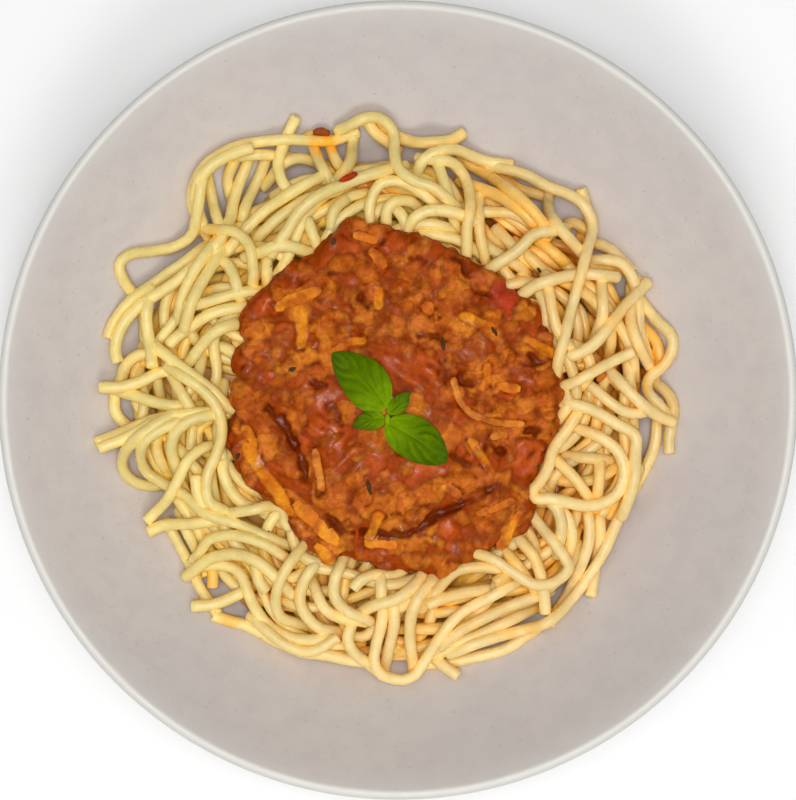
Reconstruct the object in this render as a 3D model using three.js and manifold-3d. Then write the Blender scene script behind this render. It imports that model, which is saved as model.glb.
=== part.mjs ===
// A bowl of spaghetti bolognese: a coupe bowl, the heap of spaghetti in it, the meat sauce on the
// heap and a sprig of basil on the sauce. Millimetres, +Z up, the origin at the middle of the
// bowl's foot. The four pieces are four closed solids that keep a small gap to each other.

import * as THREE from 'three';
import { mergeVertices } from 'three/addons/utils/BufferGeometryUtils.js';
import Module from 'manifold-3d';

const wasm = await Module();
wasm.setup();

// ---- Driving dimensions -------------------------------------------------------------------

const BOWL_RADIUS = 105;
const BOWL_HEIGHT = 50;
const BOWL_WALL = 3.2;
const BOWL_SEGMENTS = 48;
const FLOOR_RADIUS = 45;
const FLOOR_HEIGHT = 8;
const WALL_RISE_POWER = 1.5;
// The wall's outer side starts here, and it is this much thicker there than at the rim.
const WALL_START_RADIUS = 52;
const WALL_SWELL = 1.4;
const INSIDE_STEPS = 7;
const OUTSIDE_STEPS = 5;
// Corners of the round lip, in degrees from where the wall's outer side meets it.
const LIP_CORNERS = [40, 90, 140];
const FOOT_OUTER_RADIUS = 49;
const FOOT_WIDTH = 6;
const FOOT_RECESS = 2;
const FOOT_CHAMFER = 0.8;

// What the pieces keep between them.
const GAP = 0.35;

const STRAND_RADIUS = 1.58;
const STRAND_SIDES = 6;
const STRAND_STEP = 4.8;
// How deep a strand sinks into one that it crosses, and how clear it stays of the core and, past
// the gap, of the sauce.
const STRAND_SINK = 0.35;
const STRAND_CLEARANCE = 0.15;
const STRAND_TO_SAUCE = 0.5;
// How deep a strand's end dips, and over what length.
const END_TUCK = 1.6;
const END_TUCK_LENGTH = 6;
const STRAND_SEED = 11;

// How far the heap reaches from the bowl's axis, every 30 degrees from +X.
const HEAP_REACH = [75, 72, 72, 76, 79, 83, 82, 76, 76, 74, 74, 70];
// The core under the strands ends this far inside that, and this high over the bowl.
const CORE_INSET = 7;
const CORE_MIDDLE_HEIGHT = 30.4;
const CORE_EDGE_DEPTH = 3.4;
const CORE_FALL_POWER = 3.6;
const CORE_RINGS = 5;
const CORE_SEGMENTS = 32;

// How far the sauce reaches from the axis, every 15 degrees from +X.
const SAUCE_REACH = [
  43.5, 42.7, 44, 41.5, 41.3, 42.5, 45.2, 48, 45.5, 46.5, 47, 44,
  43.5, 46.5, 46, 42.5, 46.5, 44.2, 46, 47.8, 46.2, 48.3, 42, 41.5,
];
const SAUCE_MIDDLE_HEIGHT = 38;
const SAUCE_EDGE_HEIGHT = 34.4;
const SAUCE_FALL_POWER = 2.6;
// The mound's top rounds off by this much towards its outline, which lies this far inside the
// lumps' outline. A high power keeps the rounding near the outline.
const SAUCE_EDGE_DROP = 3;
const SAUCE_EDGE_POWER = 12;
const MOUND_INSET = 3;
const SAUCE_RINGS = 4;
const SAUCE_SEGMENTS = 24;
const LUMP_SEED = 5;

const LEAF_THICKNESS = 0.5;
const BUD_RADIUS = 1.3;
const BUD_FLATNESS = 0.7;
const SPRIG_PLACE = new THREE.Vector3(-2.8, -4.8, 39.6);

const GOLDEN_ANGLE = Math.PI * (3 - Math.sqrt(5));
const TURN = 2 * Math.PI;

// ---- Small tools --------------------------------------------------------------------------

function seededRandom(seed) {
  let state = seed;
  return (low = 0, high = 1) => {
    state = (state + 0x6d2b79f5) | 0;
    let mixed = Math.imul(state ^ (state >>> 15), 1 | state);
    mixed = (mixed + Math.imul(mixed ^ (mixed >>> 7), 61 | mixed)) ^ mixed;
    return low + (high - low) * (((mixed ^ (mixed >>> 14)) >>> 0) / 4294967296);
  };
}

// A smooth closed outline through radii that stand at equal angles.
function outline(radii) {
  const count = radii.length;
  return (angle) => {
    const place = (((angle / TURN) * count) % count + count) % count;
    const index = Math.floor(place);
    const part = place - index;
    const [before, start, end, after] = [-1, 0, 1, 2].map((k) => radii[(index + k + count) % count]);
    const bend = 2 * start - 2 * end + (end - before) / 2 + (after - start) / 2;
    const rise = -3 * start + 3 * end - (end - before) - (after - start) / 2;
    return ((bend * part + rise) * part + (end - before) / 2) * part + start;
  };
}

function toSolid(geometry) {
  geometry.deleteAttribute('normal');
  geometry.deleteAttribute('uv');
  const merged = mergeVertices(geometry, 1e-4);
  const corners = merged.index.array;
  const kept = [];
  for (let i = 0; i < corners.length; i += 3) {
    const [a, b, c] = corners.slice(i, i + 3);
    if (a !== b && b !== c && c !== a) kept.push(a, b, c);
  }
  const triVerts = Uint32Array.from(kept);
  const vertProperties = Float32Array.from(merged.attributes.position.array);
  return new wasm.Manifold(new wasm.Mesh({ numProp: 3, vertProperties, triVerts }));
}

// The largest body of a solid, without loose scraps and with sealed hollows filled.
function mainBody(solid) {
  const bodies = solid.decompose();
  return bodies.reduce((best, body) => (body.volume() > best.volume() ? body : best));
}

function toMesh(solid, name, material) {
  const { vertProperties, triVerts } = solid.getMesh();
  const geometry = new THREE.BufferGeometry();
  geometry.setAttribute('position', new THREE.BufferAttribute(vertProperties, 3));
  geometry.setIndex(new THREE.BufferAttribute(triVerts, 1));
  geometry.computeVertexNormals();
  const mesh = new THREE.Mesh(geometry, material);
  mesh.name = name;
  return mesh;
}

// A round mound: its outline, and its top and bottom as heights over radius and angle. Its rings
// lie closer together towards the outline.
function mound(reach, top, bottom, rings, segments) {
  const profile = [];
  const share = (ring) => Math.sqrt(ring / rings);
  for (let ring = 0; ring <= rings; ring++) profile.push(new THREE.Vector2(share(ring), -1));
  for (let ring = rings; ring >= 0; ring--) profile.push(new THREE.Vector2(share(ring), 1));
  const geometry = new THREE.LatheGeometry(profile, segments).rotateX(Math.PI / 2);
  const place = geometry.attributes.position;
  for (let i = 0; i < place.count; i++) {
    const angle = Math.atan2(place.getY(i), place.getX(i));
    const radius = Math.hypot(place.getX(i), place.getY(i)) * reach(angle);
    const height = place.getZ(i) > 0 ? top(radius, angle) : bottom(radius, angle);
    place.setXYZ(i, radius * Math.cos(angle), radius * Math.sin(angle), height);
  }
  return toSolid(geometry);
}

// ---- Bowl ---------------------------------------------------------------------------------

const LIP_RADIUS = BOWL_WALL / 2;
const rimSlope = Math.atan(
  (WALL_RISE_POWER * (BOWL_HEIGHT - FLOOR_HEIGHT)) / (BOWL_RADIUS - FLOOR_RADIUS - LIP_RADIUS),
);
const INNER_RIM_RADIUS = BOWL_RADIUS - LIP_RADIUS - LIP_RADIUS * Math.sin(rimSlope);
const INNER_RIM_HEIGHT = BOWL_HEIGHT - LIP_RADIUS + LIP_RADIUS * Math.cos(rimSlope);

function bowlInside(radius) {
  const part = Math.max(0, (radius - FLOOR_RADIUS) / (INNER_RIM_RADIUS - FLOOR_RADIUS));
  return FLOOR_HEIGHT + (INNER_RIM_HEIGHT - FLOOR_HEIGHT) * part ** WALL_RISE_POWER;
}

function bowlSlope(radius) {
  const part = Math.max(0, (radius - FLOOR_RADIUS) / (INNER_RIM_RADIUS - FLOOR_RADIUS));
  const rise = (INNER_RIM_HEIGHT - FLOOR_HEIGHT) / (INNER_RIM_RADIUS - FLOOR_RADIUS);
  return Math.atan(WALL_RISE_POWER * rise * Math.sqrt(part));
}

function footProfile() {
  const inner = FOOT_OUTER_RADIUS - FOOT_WIDTH;
  return [
    [0, FOOT_RECESS],
    [inner - 2 * FOOT_CHAMFER, FOOT_RECESS],
    [inner, FOOT_CHAMFER / 2],
    [inner + FOOT_CHAMFER, 0],
    [FOOT_OUTER_RADIUS - 2 * FOOT_CHAMFER, 0],
    [FOOT_OUTER_RADIUS - FOOT_CHAMFER, FOOT_CHAMFER / 2],
  ];
}

function makeBowl() {
  const profile = footProfile();
  for (let step = 0; step <= OUTSIDE_STEPS; step++) {
    const radius = WALL_START_RADIUS + ((INNER_RIM_RADIUS - WALL_START_RADIUS) * step) / OUTSIDE_STEPS;
    const slope = bowlSlope(radius);
    const wall = BOWL_WALL + WALL_SWELL * (1 - step / OUTSIDE_STEPS);
    profile.push([radius + wall * Math.sin(slope), bowlInside(radius) - wall * Math.cos(slope)]);
  }
  const lipMiddle = [BOWL_RADIUS - LIP_RADIUS, BOWL_HEIGHT - LIP_RADIUS];
  for (const corner of LIP_CORNERS) {
    const angle = bowlSlope(INNER_RIM_RADIUS) - Math.PI / 2 + THREE.MathUtils.degToRad(corner);
    profile.push([lipMiddle[0] + LIP_RADIUS * Math.cos(angle), lipMiddle[1] + LIP_RADIUS * Math.sin(angle)]);
  }
  for (let step = INSIDE_STEPS; step >= 0; step--) {
    const radius = FLOOR_RADIUS + ((INNER_RIM_RADIUS - FLOOR_RADIUS) * step) / INSIDE_STEPS;
    profile.push([radius, bowlInside(radius)]);
  }
  profile.push([0, FLOOR_HEIGHT]);
  const points = profile.map(([radius, height]) => new THREE.Vector2(radius, height));
  return toSolid(new THREE.LatheGeometry(points, BOWL_SEGMENTS).rotateX(Math.PI / 2));
}

// ---- Heap of spaghetti --------------------------------------------------------------------

const heapReach = outline(HEAP_REACH);
const sauceReach = outline(SAUCE_REACH);
const coreReach = (angle) => heapReach(angle) - CORE_INSET;

function coreTop(radius, angle) {
  const reach = coreReach(angle);
  const edge = bowlInside(reach) + CORE_EDGE_DEPTH;
  const part = Math.min(1, radius / reach);
  return CORE_MIDDLE_HEIGHT + (edge - CORE_MIDDLE_HEIGHT) * part ** CORE_FALL_POWER;
}

const coreBottom = (radius) => bowlInside(radius) + GAP / Math.cos(bowlSlope(radius));

// Plan routes of the strands: long arcs that swirl round the heap, loops that turn back at its
// edge, and nearly straight strands that cross it. The upper ones come last. How far a strand
// sweeps round the axis is in radians.
const STRANDS = [
  { shape: swirl, count: 14, sweep: [1.1, 1.5] },
  { shape: loop, count: 6, sweep: [0.25, 0.5] },
  { shape: cross, count: 4, sweep: [1.2, 1.5] },
];
const ROUTE_SAMPLES = 100;
const ROUTE_TRIES = 24;
const ROUTE_THINNING = 4;
// How far a swirling strand drifts inwards or outwards, and how far it waves.
const LANE_DRIFT = 0.25;
const LANE_WAVE = 0.07;
// Where a loop starts and how far it turns, as shares of half a turn, how far out it goes, and
// how square it is: 1 is round.
const LOOP_START = -0.1;
const LOOP_TURN = 1.25;
const LOOP_REACH = 1.04;
const LOOP_SQUARENESS = 0.7;
// How far out a crossing strand passes at its middle, and how fast it runs outwards from there.
const CROSS_NEAREST = 0.1;
const CROSS_SPREAD = 2.4;

// Each shape gives, for a part of the strand's length from 0 to 1, the angle round the axis and
// how far out it lies, from 0 beside the sauce to 1 at the heap's edge.
function swirl(part, { start, swing, lane, drift }) {
  const depth = lane + drift * (part - 0.5) + LANE_WAVE * Math.sin(TURN * part + start);
  return [start + swing * (part - 0.5), depth];
}

function loop(part, { start, swing, drift }) {
  const turn = Math.PI * (LOOP_START + LOOP_TURN * part);
  const depth = LOOP_REACH * Math.max(0, Math.sin(turn)) ** LOOP_SQUARENESS;
  return [start - (swing * Math.cos(turn)) / 2 + drift * part * part, depth];
}

function cross(part, { start, swing, lane }) {
  return [start + swing * (part - 0.5), CROSS_NEAREST + (CROSS_SPREAD + lane) * (part - 0.5) ** 2];
}

// A plan route. The strands of one shape share out the full turn, so each starts in its own sector.
function strandRoute({ shape, count, sweep }, index, random) {
  const start = (TURN * (index + random())) / count;
  const swing = random(...sweep) * (random() < 0.5 ? -1 : 1);
  const lane = random(0, 1);
  const drift = random(-LANE_DRIFT, LANE_DRIFT);
  const route = [];
  for (let i = 0; i <= ROUTE_SAMPLES; i++) {
    const [angle, depth] = shape(i / ROUTE_SAMPLES, { start, swing, lane, drift });
    const inner = sauceReach(angle) + STRAND_RADIUS + GAP + STRAND_TO_SAUCE;
    const outer = heapReach(angle) - STRAND_RADIUS;
    const radius = inner + (outer - inner) * Math.min(1, Math.max(0, depth));
    route.push(new THREE.Vector2(radius * Math.cos(angle), radius * Math.sin(angle)));
  }
  return route;
}

// Heights of what lies in the bowl, on a square grid, so that each strand rests on the last.
const CELL = 0.7;
const CELLS = 256;
const SETTLE_PASSES = 30;
const surface = new Float32Array(CELLS * CELLS);
const cellMiddle = (index) => (index + 0.5 - CELLS / 2) * CELL;
const cellIndex = (place) => Math.floor(place / CELL + CELLS / 2);

function eachCellNear(point, visit) {
  const span = Math.ceil(STRAND_RADIUS / CELL);
  const [column, row] = [cellIndex(point.x), cellIndex(point.y)];
  for (let j = row - span; j <= row + span; j++) {
    for (let i = column - span; i <= column + span; i++) {
      const away = Math.hypot(cellMiddle(i) - point.x, cellMiddle(j) - point.y);
      if (away < STRAND_RADIUS) visit(j * CELLS + i, Math.sqrt(STRAND_RADIUS ** 2 - away ** 2));
    }
  }
}

const covered = new Uint8Array(CELLS * CELLS);

// The route that crosses the fewest strands laid so far, which spreads them evenly.
function barestRoute(routes) {
  const crossed = routes.map((route) => {
    let count = 0;
    for (const point of route) eachCellNear(point, (cell) => { count += covered[cell]; });
    return count;
  });
  return routes[crossed.indexOf(Math.min(...crossed))];
}

function heightOnBowl(point) {
  const radius = point.length();
  return bowlInside(radius) + (STRAND_RADIUS + GAP) / Math.cos(bowlSlope(radius));
}

// Rests a strand on the bowl and on what lies there already. Only its two ends dip into the core,
// and it sinks a little into each strand that it crosses, which fuses it to the heap.
function layStrand(route) {
  const rest = route.map((point) => {
    let height = heightOnBowl(point);
    eachCellNear(point, (cell, rise) => {
      height = Math.max(height, surface[cell] + rise - STRAND_SINK);
    });
    return height;
  });
  let heights = [...rest];
  for (let pass = 0; pass < SETTLE_PASSES; pass++) {
    heights = heights.map((height, i) => {
      const before = heights[Math.max(0, i - 1)];
      const after = heights[Math.min(heights.length - 1, i + 1)];
      return Math.max(rest[i], (before + 2 * height + after) / 4);
    });
  }
  route.forEach((point, i) => eachCellNear(point, (cell, rise) => {
    surface[cell] = Math.max(surface[cell], heights[i] + rise);
    covered[cell] = 1;
  }));
  const ends = [route[0], route[route.length - 1]];
  heights = heights.map((height, i) => {
    const fromEnd = Math.min(...ends.map((end) => end.distanceTo(route[i])));
    const tuck = END_TUCK * Math.max(0, 1 - fromEnd / END_TUCK_LENGTH);
    return Math.max(heightOnBowl(route[i]), height - tuck);
  });
  return route.map((point, i) => new THREE.Vector3(point.x, point.y, heights[i]));
}

function strandSolid(points) {
  const path = new THREE.CatmullRomCurve3(points.filter((_, i) => i % ROUTE_THINNING === 0));
  const section = new THREE.Shape();
  for (let side = 0; side < STRAND_SIDES; side++) {
    const angle = (TURN * side) / STRAND_SIDES;
    const corner = [STRAND_RADIUS * Math.cos(angle), STRAND_RADIUS * Math.sin(angle)];
    if (side === 0) section.moveTo(...corner);
    else section.lineTo(...corner);
  }
  section.closePath();
  const steps = Math.round(path.getLength() / STRAND_STEP);
  return toSolid(new THREE.ExtrudeGeometry(section, { steps, extrudePath: path }));
}

function makeSpaghetti() {
  for (let row = 0; row < CELLS; row++) {
    for (let column = 0; column < CELLS; column++) {
      const [x, y] = [cellMiddle(column), cellMiddle(row)];
      const [radius, angle] = [Math.hypot(x, y), Math.atan2(y, x)];
      const overCore = coreTop(radius, angle) + STRAND_SINK + STRAND_CLEARANCE;
      surface[row * CELLS + column] = radius < coreReach(angle) ? overCore : 0;
    }
  }
  let heap = mound(coreReach, coreTop, coreBottom, CORE_RINGS, CORE_SEGMENTS);
  const random = seededRandom(STRAND_SEED);
  for (const strand of STRANDS) {
    for (let index = 0; index < strand.count; index++) {
      const routes = Array.from({ length: ROUTE_TRIES }, () => strandRoute(strand, index, random));
      heap = heap.add(strandSolid(layStrand(barestRoute(routes))));
    }
  }
  return mainBody(heap);
}

// ---- Meat sauce ---------------------------------------------------------------------------

function sauceTop(radius, angle) {
  const part = Math.min(1, radius / sauceReach(angle));
  return SAUCE_MIDDLE_HEIGHT + (SAUCE_EDGE_HEIGHT - SAUCE_MIDDLE_HEIGHT) * part ** SAUCE_FALL_POWER;
}

// Lumps of mince: tall ones with more faces make the uneven edge, flat ones lie between. Of their
// size, `tall` is their half height and `sunk` how deep their middle lies under the sauce's top.
const EDGE_LUMPS = { count: 12, size: [4.2, 5.6], tall: [0.72, 0.85], sunk: [0.4, 0.55], detail: 1 };
const INNER_LUMPS = { count: 20, size: [2.8, 5], tall: [0.5, 0.62], sunk: [0, 0.15], detail: 0 };
const LUMP_LENGTH = [0.8, 1.1];
const LUMP_WIDTH = [0.7, 1];
const EDGE_LUMP_STRAY = 0.25;

function lumpSolid({ tall, sunk, detail }, size, radius, angle, random) {
  const lump = new THREE.IcosahedronGeometry(size, detail);
  lump.scale(random(...LUMP_LENGTH), random(...LUMP_WIDTH), random(...tall));
  lump.rotateZ(random(0, TURN));
  const height = sauceTop(radius, angle) - size * random(...sunk);
  lump.translate(radius * Math.cos(angle), radius * Math.sin(angle), height);
  return toSolid(lump);
}

function edgeLump(index, random) {
  const size = random(...EDGE_LUMPS.size);
  const angle = (TURN * (index + random(-EDGE_LUMP_STRAY, EDGE_LUMP_STRAY))) / EDGE_LUMPS.count;
  return lumpSolid(EDGE_LUMPS, size, sauceReach(angle) - size, angle, random);
}

function innerLump(index, random) {
  const size = random(...INNER_LUMPS.size);
  const angle = index * GOLDEN_ANGLE;
  const spread = Math.sqrt((index + 0.5) / INNER_LUMPS.count);
  const radius = (sauceReach(angle) - 2 * EDGE_LUMPS.size[0]) * spread;
  return lumpSolid(INNER_LUMPS, size, radius, angle, random);
}

// Carrot strips that lie on the sauce: where their middle is, their length and their direction.
const CARROT_STRIPS = [
  { x: -5.5, y: 38, length: 8, turn: -51 },
  { x: -27, y: 27, length: 13, turn: 23 },
  { x: -35, y: -21, length: 20, turn: -56 },
  { x: -22, y: -33, length: 16, turn: -45 },
  { x: -4.5, y: -38.4, length: 9, turn: -5 },
  { x: 30, y: -35, length: 12, turn: 61 },
];
const STRIP_RADIUS = 1.4;
const STRIP_SIDES = 6;
const STRIP_RISE = 0.6;

function carrotStrip({ x, y, length, turn }) {
  const strip = new THREE.CapsuleGeometry(STRIP_RADIUS, length - 2 * STRIP_RADIUS, 1, STRIP_SIDES);
  strip.rotateZ(Math.PI / 2).rotateZ(THREE.MathUtils.degToRad(turn));
  const height = sauceTop(Math.hypot(x, y), Math.atan2(y, x)) + STRIP_RISE;
  return toSolid(strip.translate(x, y, height));
}

// The mound's underside is cut along the core's top, so it starts a little deeper than that.
const CUT_MARGIN = 2;

function makeSauce(sprigPress) {
  const random = seededRandom(LUMP_SEED);
  const underside = (radius, angle) => coreTop(radius, angle) + GAP;
  const deeper = (radius, angle) => underside(radius, angle) - CUT_MARGIN;
  const reach = (angle) => sauceReach(angle) - MOUND_INSET;
  const rounded = (radius, angle) => {
    const part = Math.min(1, radius / reach(angle));
    return sauceTop(radius, angle) - SAUCE_EDGE_DROP * part ** SAUCE_EDGE_POWER;
  };
  let sauce = mound(reach, rounded, deeper, SAUCE_RINGS, SAUCE_SEGMENTS);
  for (let index = 0; index < EDGE_LUMPS.count; index++) sauce = sauce.add(edgeLump(index, random));
  for (let index = 0; index < INNER_LUMPS.count; index++) sauce = sauce.add(innerLump(index, random));
  for (const strip of CARROT_STRIPS) sauce = sauce.add(carrotStrip(strip));
  const beneath = mound(coreReach, underside, () => 0, CORE_RINGS, CORE_SEGMENTS);
  return mainBody(sauce.subtract(beneath).subtract(sprigPress));
}

// ---- Basil sprig --------------------------------------------------------------------------

// Each leaf: direction of its tip in degrees from +X, length, width, how far the tip rises, and
// how deep its two halves dip beside the midrib.
const LEAVES = [
  { turn: 130, length: 22.7, width: 12.2, rise: -1.6, dip: 1.2 },
  { turn: -36, length: 19.6, width: 11.5, rise: -1.2, dip: 1.1 },
  { turn: 193, length: 9.6, width: 5.2, rise: 0.8, dip: 0.5 },
  { turn: 50, length: 9, width: 4.4, rise: 1, dip: 0.5 },
];
const LEAF_STALK = 0.3;
// Less than 1 puts the widest place nearer the stem, and makes the outline blunter.
const LEAF_SKEW = 0.85;
const LEAF_BLUNTNESS = 0.75;
// A leaf arches up by a share of its length and its edge waves by a share of its width.
const LEAF_ARCH = 0.07;
const LEAF_WAVE = 0.05;
const LEAF_WAVES = 9;
const LEAF_FOLD_POWER = 1.5;
// Rows and columns of the grid of a large and a small leaf.
const LARGE_LEAF_LENGTH = 10;
const LARGE_LEAF_GRID = [8, 4];
const SMALL_LEAF_GRID = [5, 2];

function leafSurface({ turn, length, width, rise, dip }) {
  const angle = THREE.MathUtils.degToRad(turn);
  const along = new THREE.Vector2(Math.cos(angle), Math.sin(angle));
  const across = new THREE.Vector2(-along.y, along.x);
  return (part, side) => {
    const half = LEAF_STALK + (width / 2) * Math.sin(Math.PI * part ** LEAF_SKEW) ** LEAF_BLUNTNESS;
    const arch = LEAF_ARCH * length * Math.sin(Math.PI * part);
    const bend = dip * Math.abs(side) ** LEAF_FOLD_POWER * Math.sin(Math.PI * part);
    const wave = LEAF_WAVE * width * Math.sin(LEAF_WAVES * part + 2 * side);
    const height = arch + rise * part * part - bend + wave * part;
    const place = along.clone().multiplyScalar(length * part).addScaledVector(across, half * side);
    return new THREE.Vector3(place.x, place.y, height).add(SPRIG_PLACE);
  };
}

// A thin sheet as a solid: both faces have the same grid, and a wall runs round the edge.
function sheetSolid(point, rows, columns, above, below) {
  const positions = [];
  for (const shift of [above, -below]) {
    for (let row = 0; row <= rows; row++) {
      for (let column = 0; column <= columns; column++) {
        const { x, y, z } = point(row / rows, (2 * column) / columns - 1);
        positions.push(x, y, z + shift);
      }
    }
  }
  const under = (rows + 1) * (columns + 1);
  const at = (row, column) => row * (columns + 1) + column;
  const corners = [];
  for (let row = 0; row < rows; row++) {
    for (let column = 0; column < columns; column++) {
      const [a, b] = [at(row, column), at(row + 1, column)];
      const [c, d] = [at(row + 1, column + 1), at(row, column + 1)];
      corners.push(a, b, c, a, c, d);
      corners.push(under + a, under + c, under + b, under + a, under + d, under + c);
    }
  }
  const edge = [];
  for (let row = 0; row < rows; row++) edge.push(at(row, 0));
  for (let column = 0; column < columns; column++) edge.push(at(rows, column));
  for (let row = rows; row > 0; row--) edge.push(at(row, columns));
  for (let column = columns; column > 0; column--) edge.push(at(0, column));
  edge.forEach((from, i) => {
    const to = edge[(i + 1) % edge.length];
    corners.push(from, under + from, under + to, from, under + to, to);
  });
  const geometry = new THREE.BufferGeometry();
  geometry.setAttribute('position', new THREE.Float32BufferAttribute(positions, 3));
  geometry.setIndex(corners);
  return toSolid(geometry);
}

function makeSprig(above, below) {
  const bud = new THREE.IcosahedronGeometry(BUD_RADIUS + below - LEAF_THICKNESS / 2, 0);
  let sprig = toSolid(bud.scale(1, 1, BUD_FLATNESS).translate(...SPRIG_PLACE));
  for (const leaf of LEAVES) {
    const [rows, columns] = leaf.length > LARGE_LEAF_LENGTH ? LARGE_LEAF_GRID : SMALL_LEAF_GRID;
    sprig = sprig.add(sheetSolid(leafSurface(leaf), rows, columns, above, below));
  }
  return mainBody(sprig);
}

// ---- The whole ----------------------------------------------------------------------------

const glaze = new THREE.MeshStandardMaterial({ color: '#c6bdb5', roughness: 0.35, metalness: 0 });
const pasta = new THREE.MeshStandardMaterial({ color: '#e8cf88', roughness: 0.4, metalness: 0 });
const ragu = new THREE.MeshStandardMaterial({ color: '#b24c1c', roughness: 0.4, metalness: 0 });
const basil = new THREE.MeshStandardMaterial({ color: '#5f8a12', roughness: 0.45, metalness: 0 });

const sprig = makeSprig(LEAF_THICKNESS / 2, LEAF_THICKNESS / 2);
const sprigPress = makeSprig(LEAF_THICKNESS / 2 + GAP, LEAF_THICKNESS / 2 + GAP);

const dish = new THREE.Group();
dish.add(toMesh(makeBowl(), 'bowl', glaze));
dish.add(toMesh(makeSpaghetti(), 'spaghetti', pasta));
dish.add(toMesh(makeSauce(sprigPress), 'sauce', ragu));
dish.add(toMesh(sprig, 'basil_sprig', basil));

export default dish;
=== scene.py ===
"""A bowl of spaghetti bolognese: the glazed bowl, the heap of spaghetti laid strand by strand, the
meat sauce with its crumbs and vegetables, and a sprig of basil.

Everything is worked out in millimetres and becomes metres when a piece's mesh is made.
"""

import itertools
import math

import bmesh
import bpy
import numpy as np
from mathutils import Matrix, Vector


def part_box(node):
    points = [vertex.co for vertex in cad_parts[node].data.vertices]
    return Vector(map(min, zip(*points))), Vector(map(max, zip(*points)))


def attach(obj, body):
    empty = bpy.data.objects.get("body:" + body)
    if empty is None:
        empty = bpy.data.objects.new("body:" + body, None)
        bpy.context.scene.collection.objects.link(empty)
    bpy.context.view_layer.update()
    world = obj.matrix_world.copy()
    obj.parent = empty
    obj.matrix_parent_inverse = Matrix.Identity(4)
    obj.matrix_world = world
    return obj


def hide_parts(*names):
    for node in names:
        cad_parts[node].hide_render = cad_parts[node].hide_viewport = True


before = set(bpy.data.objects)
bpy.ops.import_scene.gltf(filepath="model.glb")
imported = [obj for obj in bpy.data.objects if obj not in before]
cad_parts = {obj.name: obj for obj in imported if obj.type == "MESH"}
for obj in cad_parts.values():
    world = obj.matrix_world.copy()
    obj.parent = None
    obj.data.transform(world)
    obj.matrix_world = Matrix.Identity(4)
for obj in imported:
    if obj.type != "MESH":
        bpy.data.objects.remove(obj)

MM = 0.001
TURN = 2 * math.pi
BODY = "root"

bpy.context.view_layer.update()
_, bowl_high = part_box("bowl")

# ---- Sizes of the bowl, as in the CAD source -------------------------------------------------

BOWL_RADIUS = bowl_high.x / MM
BOWL_HEIGHT = bowl_high.z / MM
BOWL_WALL = 3.2
LIP_RADIUS = BOWL_WALL / 2
FLOOR_RADIUS = 45.0
FLOOR_HEIGHT = 8.0
WALL_RISE_POWER = 1.5
FOOT_OUTER_RADIUS = 49.0
FOOT_WIDTH = 6.0
FOOT_RECESS = 2.0

# ---- Sizes of the food -----------------------------------------------------------------------

STRAND_RADIUS = 1.58
# How far the crowded part of the heap and the sauce reach from the bowl's axis, at equal angles
# from +X.
HEAP_REACH = [66, 66, 60, 65, 66, 69, 73, 66, 71, 71, 68, 67]
SAUCE_REACH = [43.5, 42.7, 44, 41.5, 41.3, 42.5, 45.2, 48, 45.5, 46.5, 47, 44,
               43.5, 46.5, 46, 42.5, 46.5, 44.2, 46, 47.8, 46.2, 48.3, 42, 41.5]
# Height of the uppermost strands' middles: (distance from the axis, height).
HEAP_TOP = [(0, 31), (42, 30), (52, 29.5), (62, 28.5), (72, 27), (80, 27)]


# ---- Numbers and curves ----------------------------------------------------------------------

# How far noise of one seed lies from that of the next, and all of it from where cells change sign.
SEED_SHIFT = 31.7
CELL_OFFSET = 1000
# The half width of mounds, in cells, and how soon their height levels off.
MOUND_LEAST, MOUND_SPREAD = 0.36, 0.26
MOUND_SOFTNESS = 0.35
# Routes are looked at in steps of this many millimetres to see how far something is from them.
ROUTE_STEP = 0.7


def srgb(red, green, blue):
    """A colour given as it looks, 0 to 255, in the linear numbers that shaders use."""
    share = np.array([red, green, blue]) / 255
    return np.where(share <= 0.04045, share / 12.92, ((share + 0.055) / 1.055) ** 2.4)


def smooth_step(low, high, value):
    part = np.clip((value - low) / (high - low), 0, 1)
    return part * part * (3 - 2 * part)


def mix_values(first, second, part):
    return first * (1 - part) + second * part


def mix(first, second, part):
    """A mix of colours, with a share for each vertex."""
    return mix_values(first, second, np.asarray(part)[..., None])


def unit(vectors):
    return vectors / np.linalg.norm(vectors, axis=-1, keepdims=True)


def scrambled(cell, seed=0):
    """A number from 0 to 1 for each whole-numbered cell, that looks random but never changes."""
    mixed = cell[:, 0] * 73856093 ^ cell[:, 1] * 19349663 ^ cell[:, 2] * 83492791 ^ seed * 374761393
    mixed = (mixed ^ mixed >> 13) * 1274126177
    return (mixed >> 8 & 0xFFFF) / 0xFFFF


def in_cells(points, size, seed):
    """Points in units of size, moved along by the seed, and the whole-numbered cell that each is in."""
    place = np.asarray(points, float) / size + SEED_SHIFT * seed + CELL_OFFSET
    return place, np.floor(place).astype(np.int64)


def noise(points, size, seed=0):
    """Smooth noise from -1 to 1 at points in millimetres, with features about `size` across."""
    place, cell = in_cells(points, size, seed)
    part = smooth_step(0, 1, place - cell)
    total = np.zeros(len(place))
    for corner in itertools.product((0, 1), repeat=3):
        total += scrambled(cell + corner) * np.prod(np.where(corner, part, 1 - part), axis=1)
    return 2 * total - 1


def strayed(points, size, seed, count=2):
    """Columns of noise by which to shift points."""
    return np.stack([noise(points, size, seed + axis) for axis in range(count)], axis=1)


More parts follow.
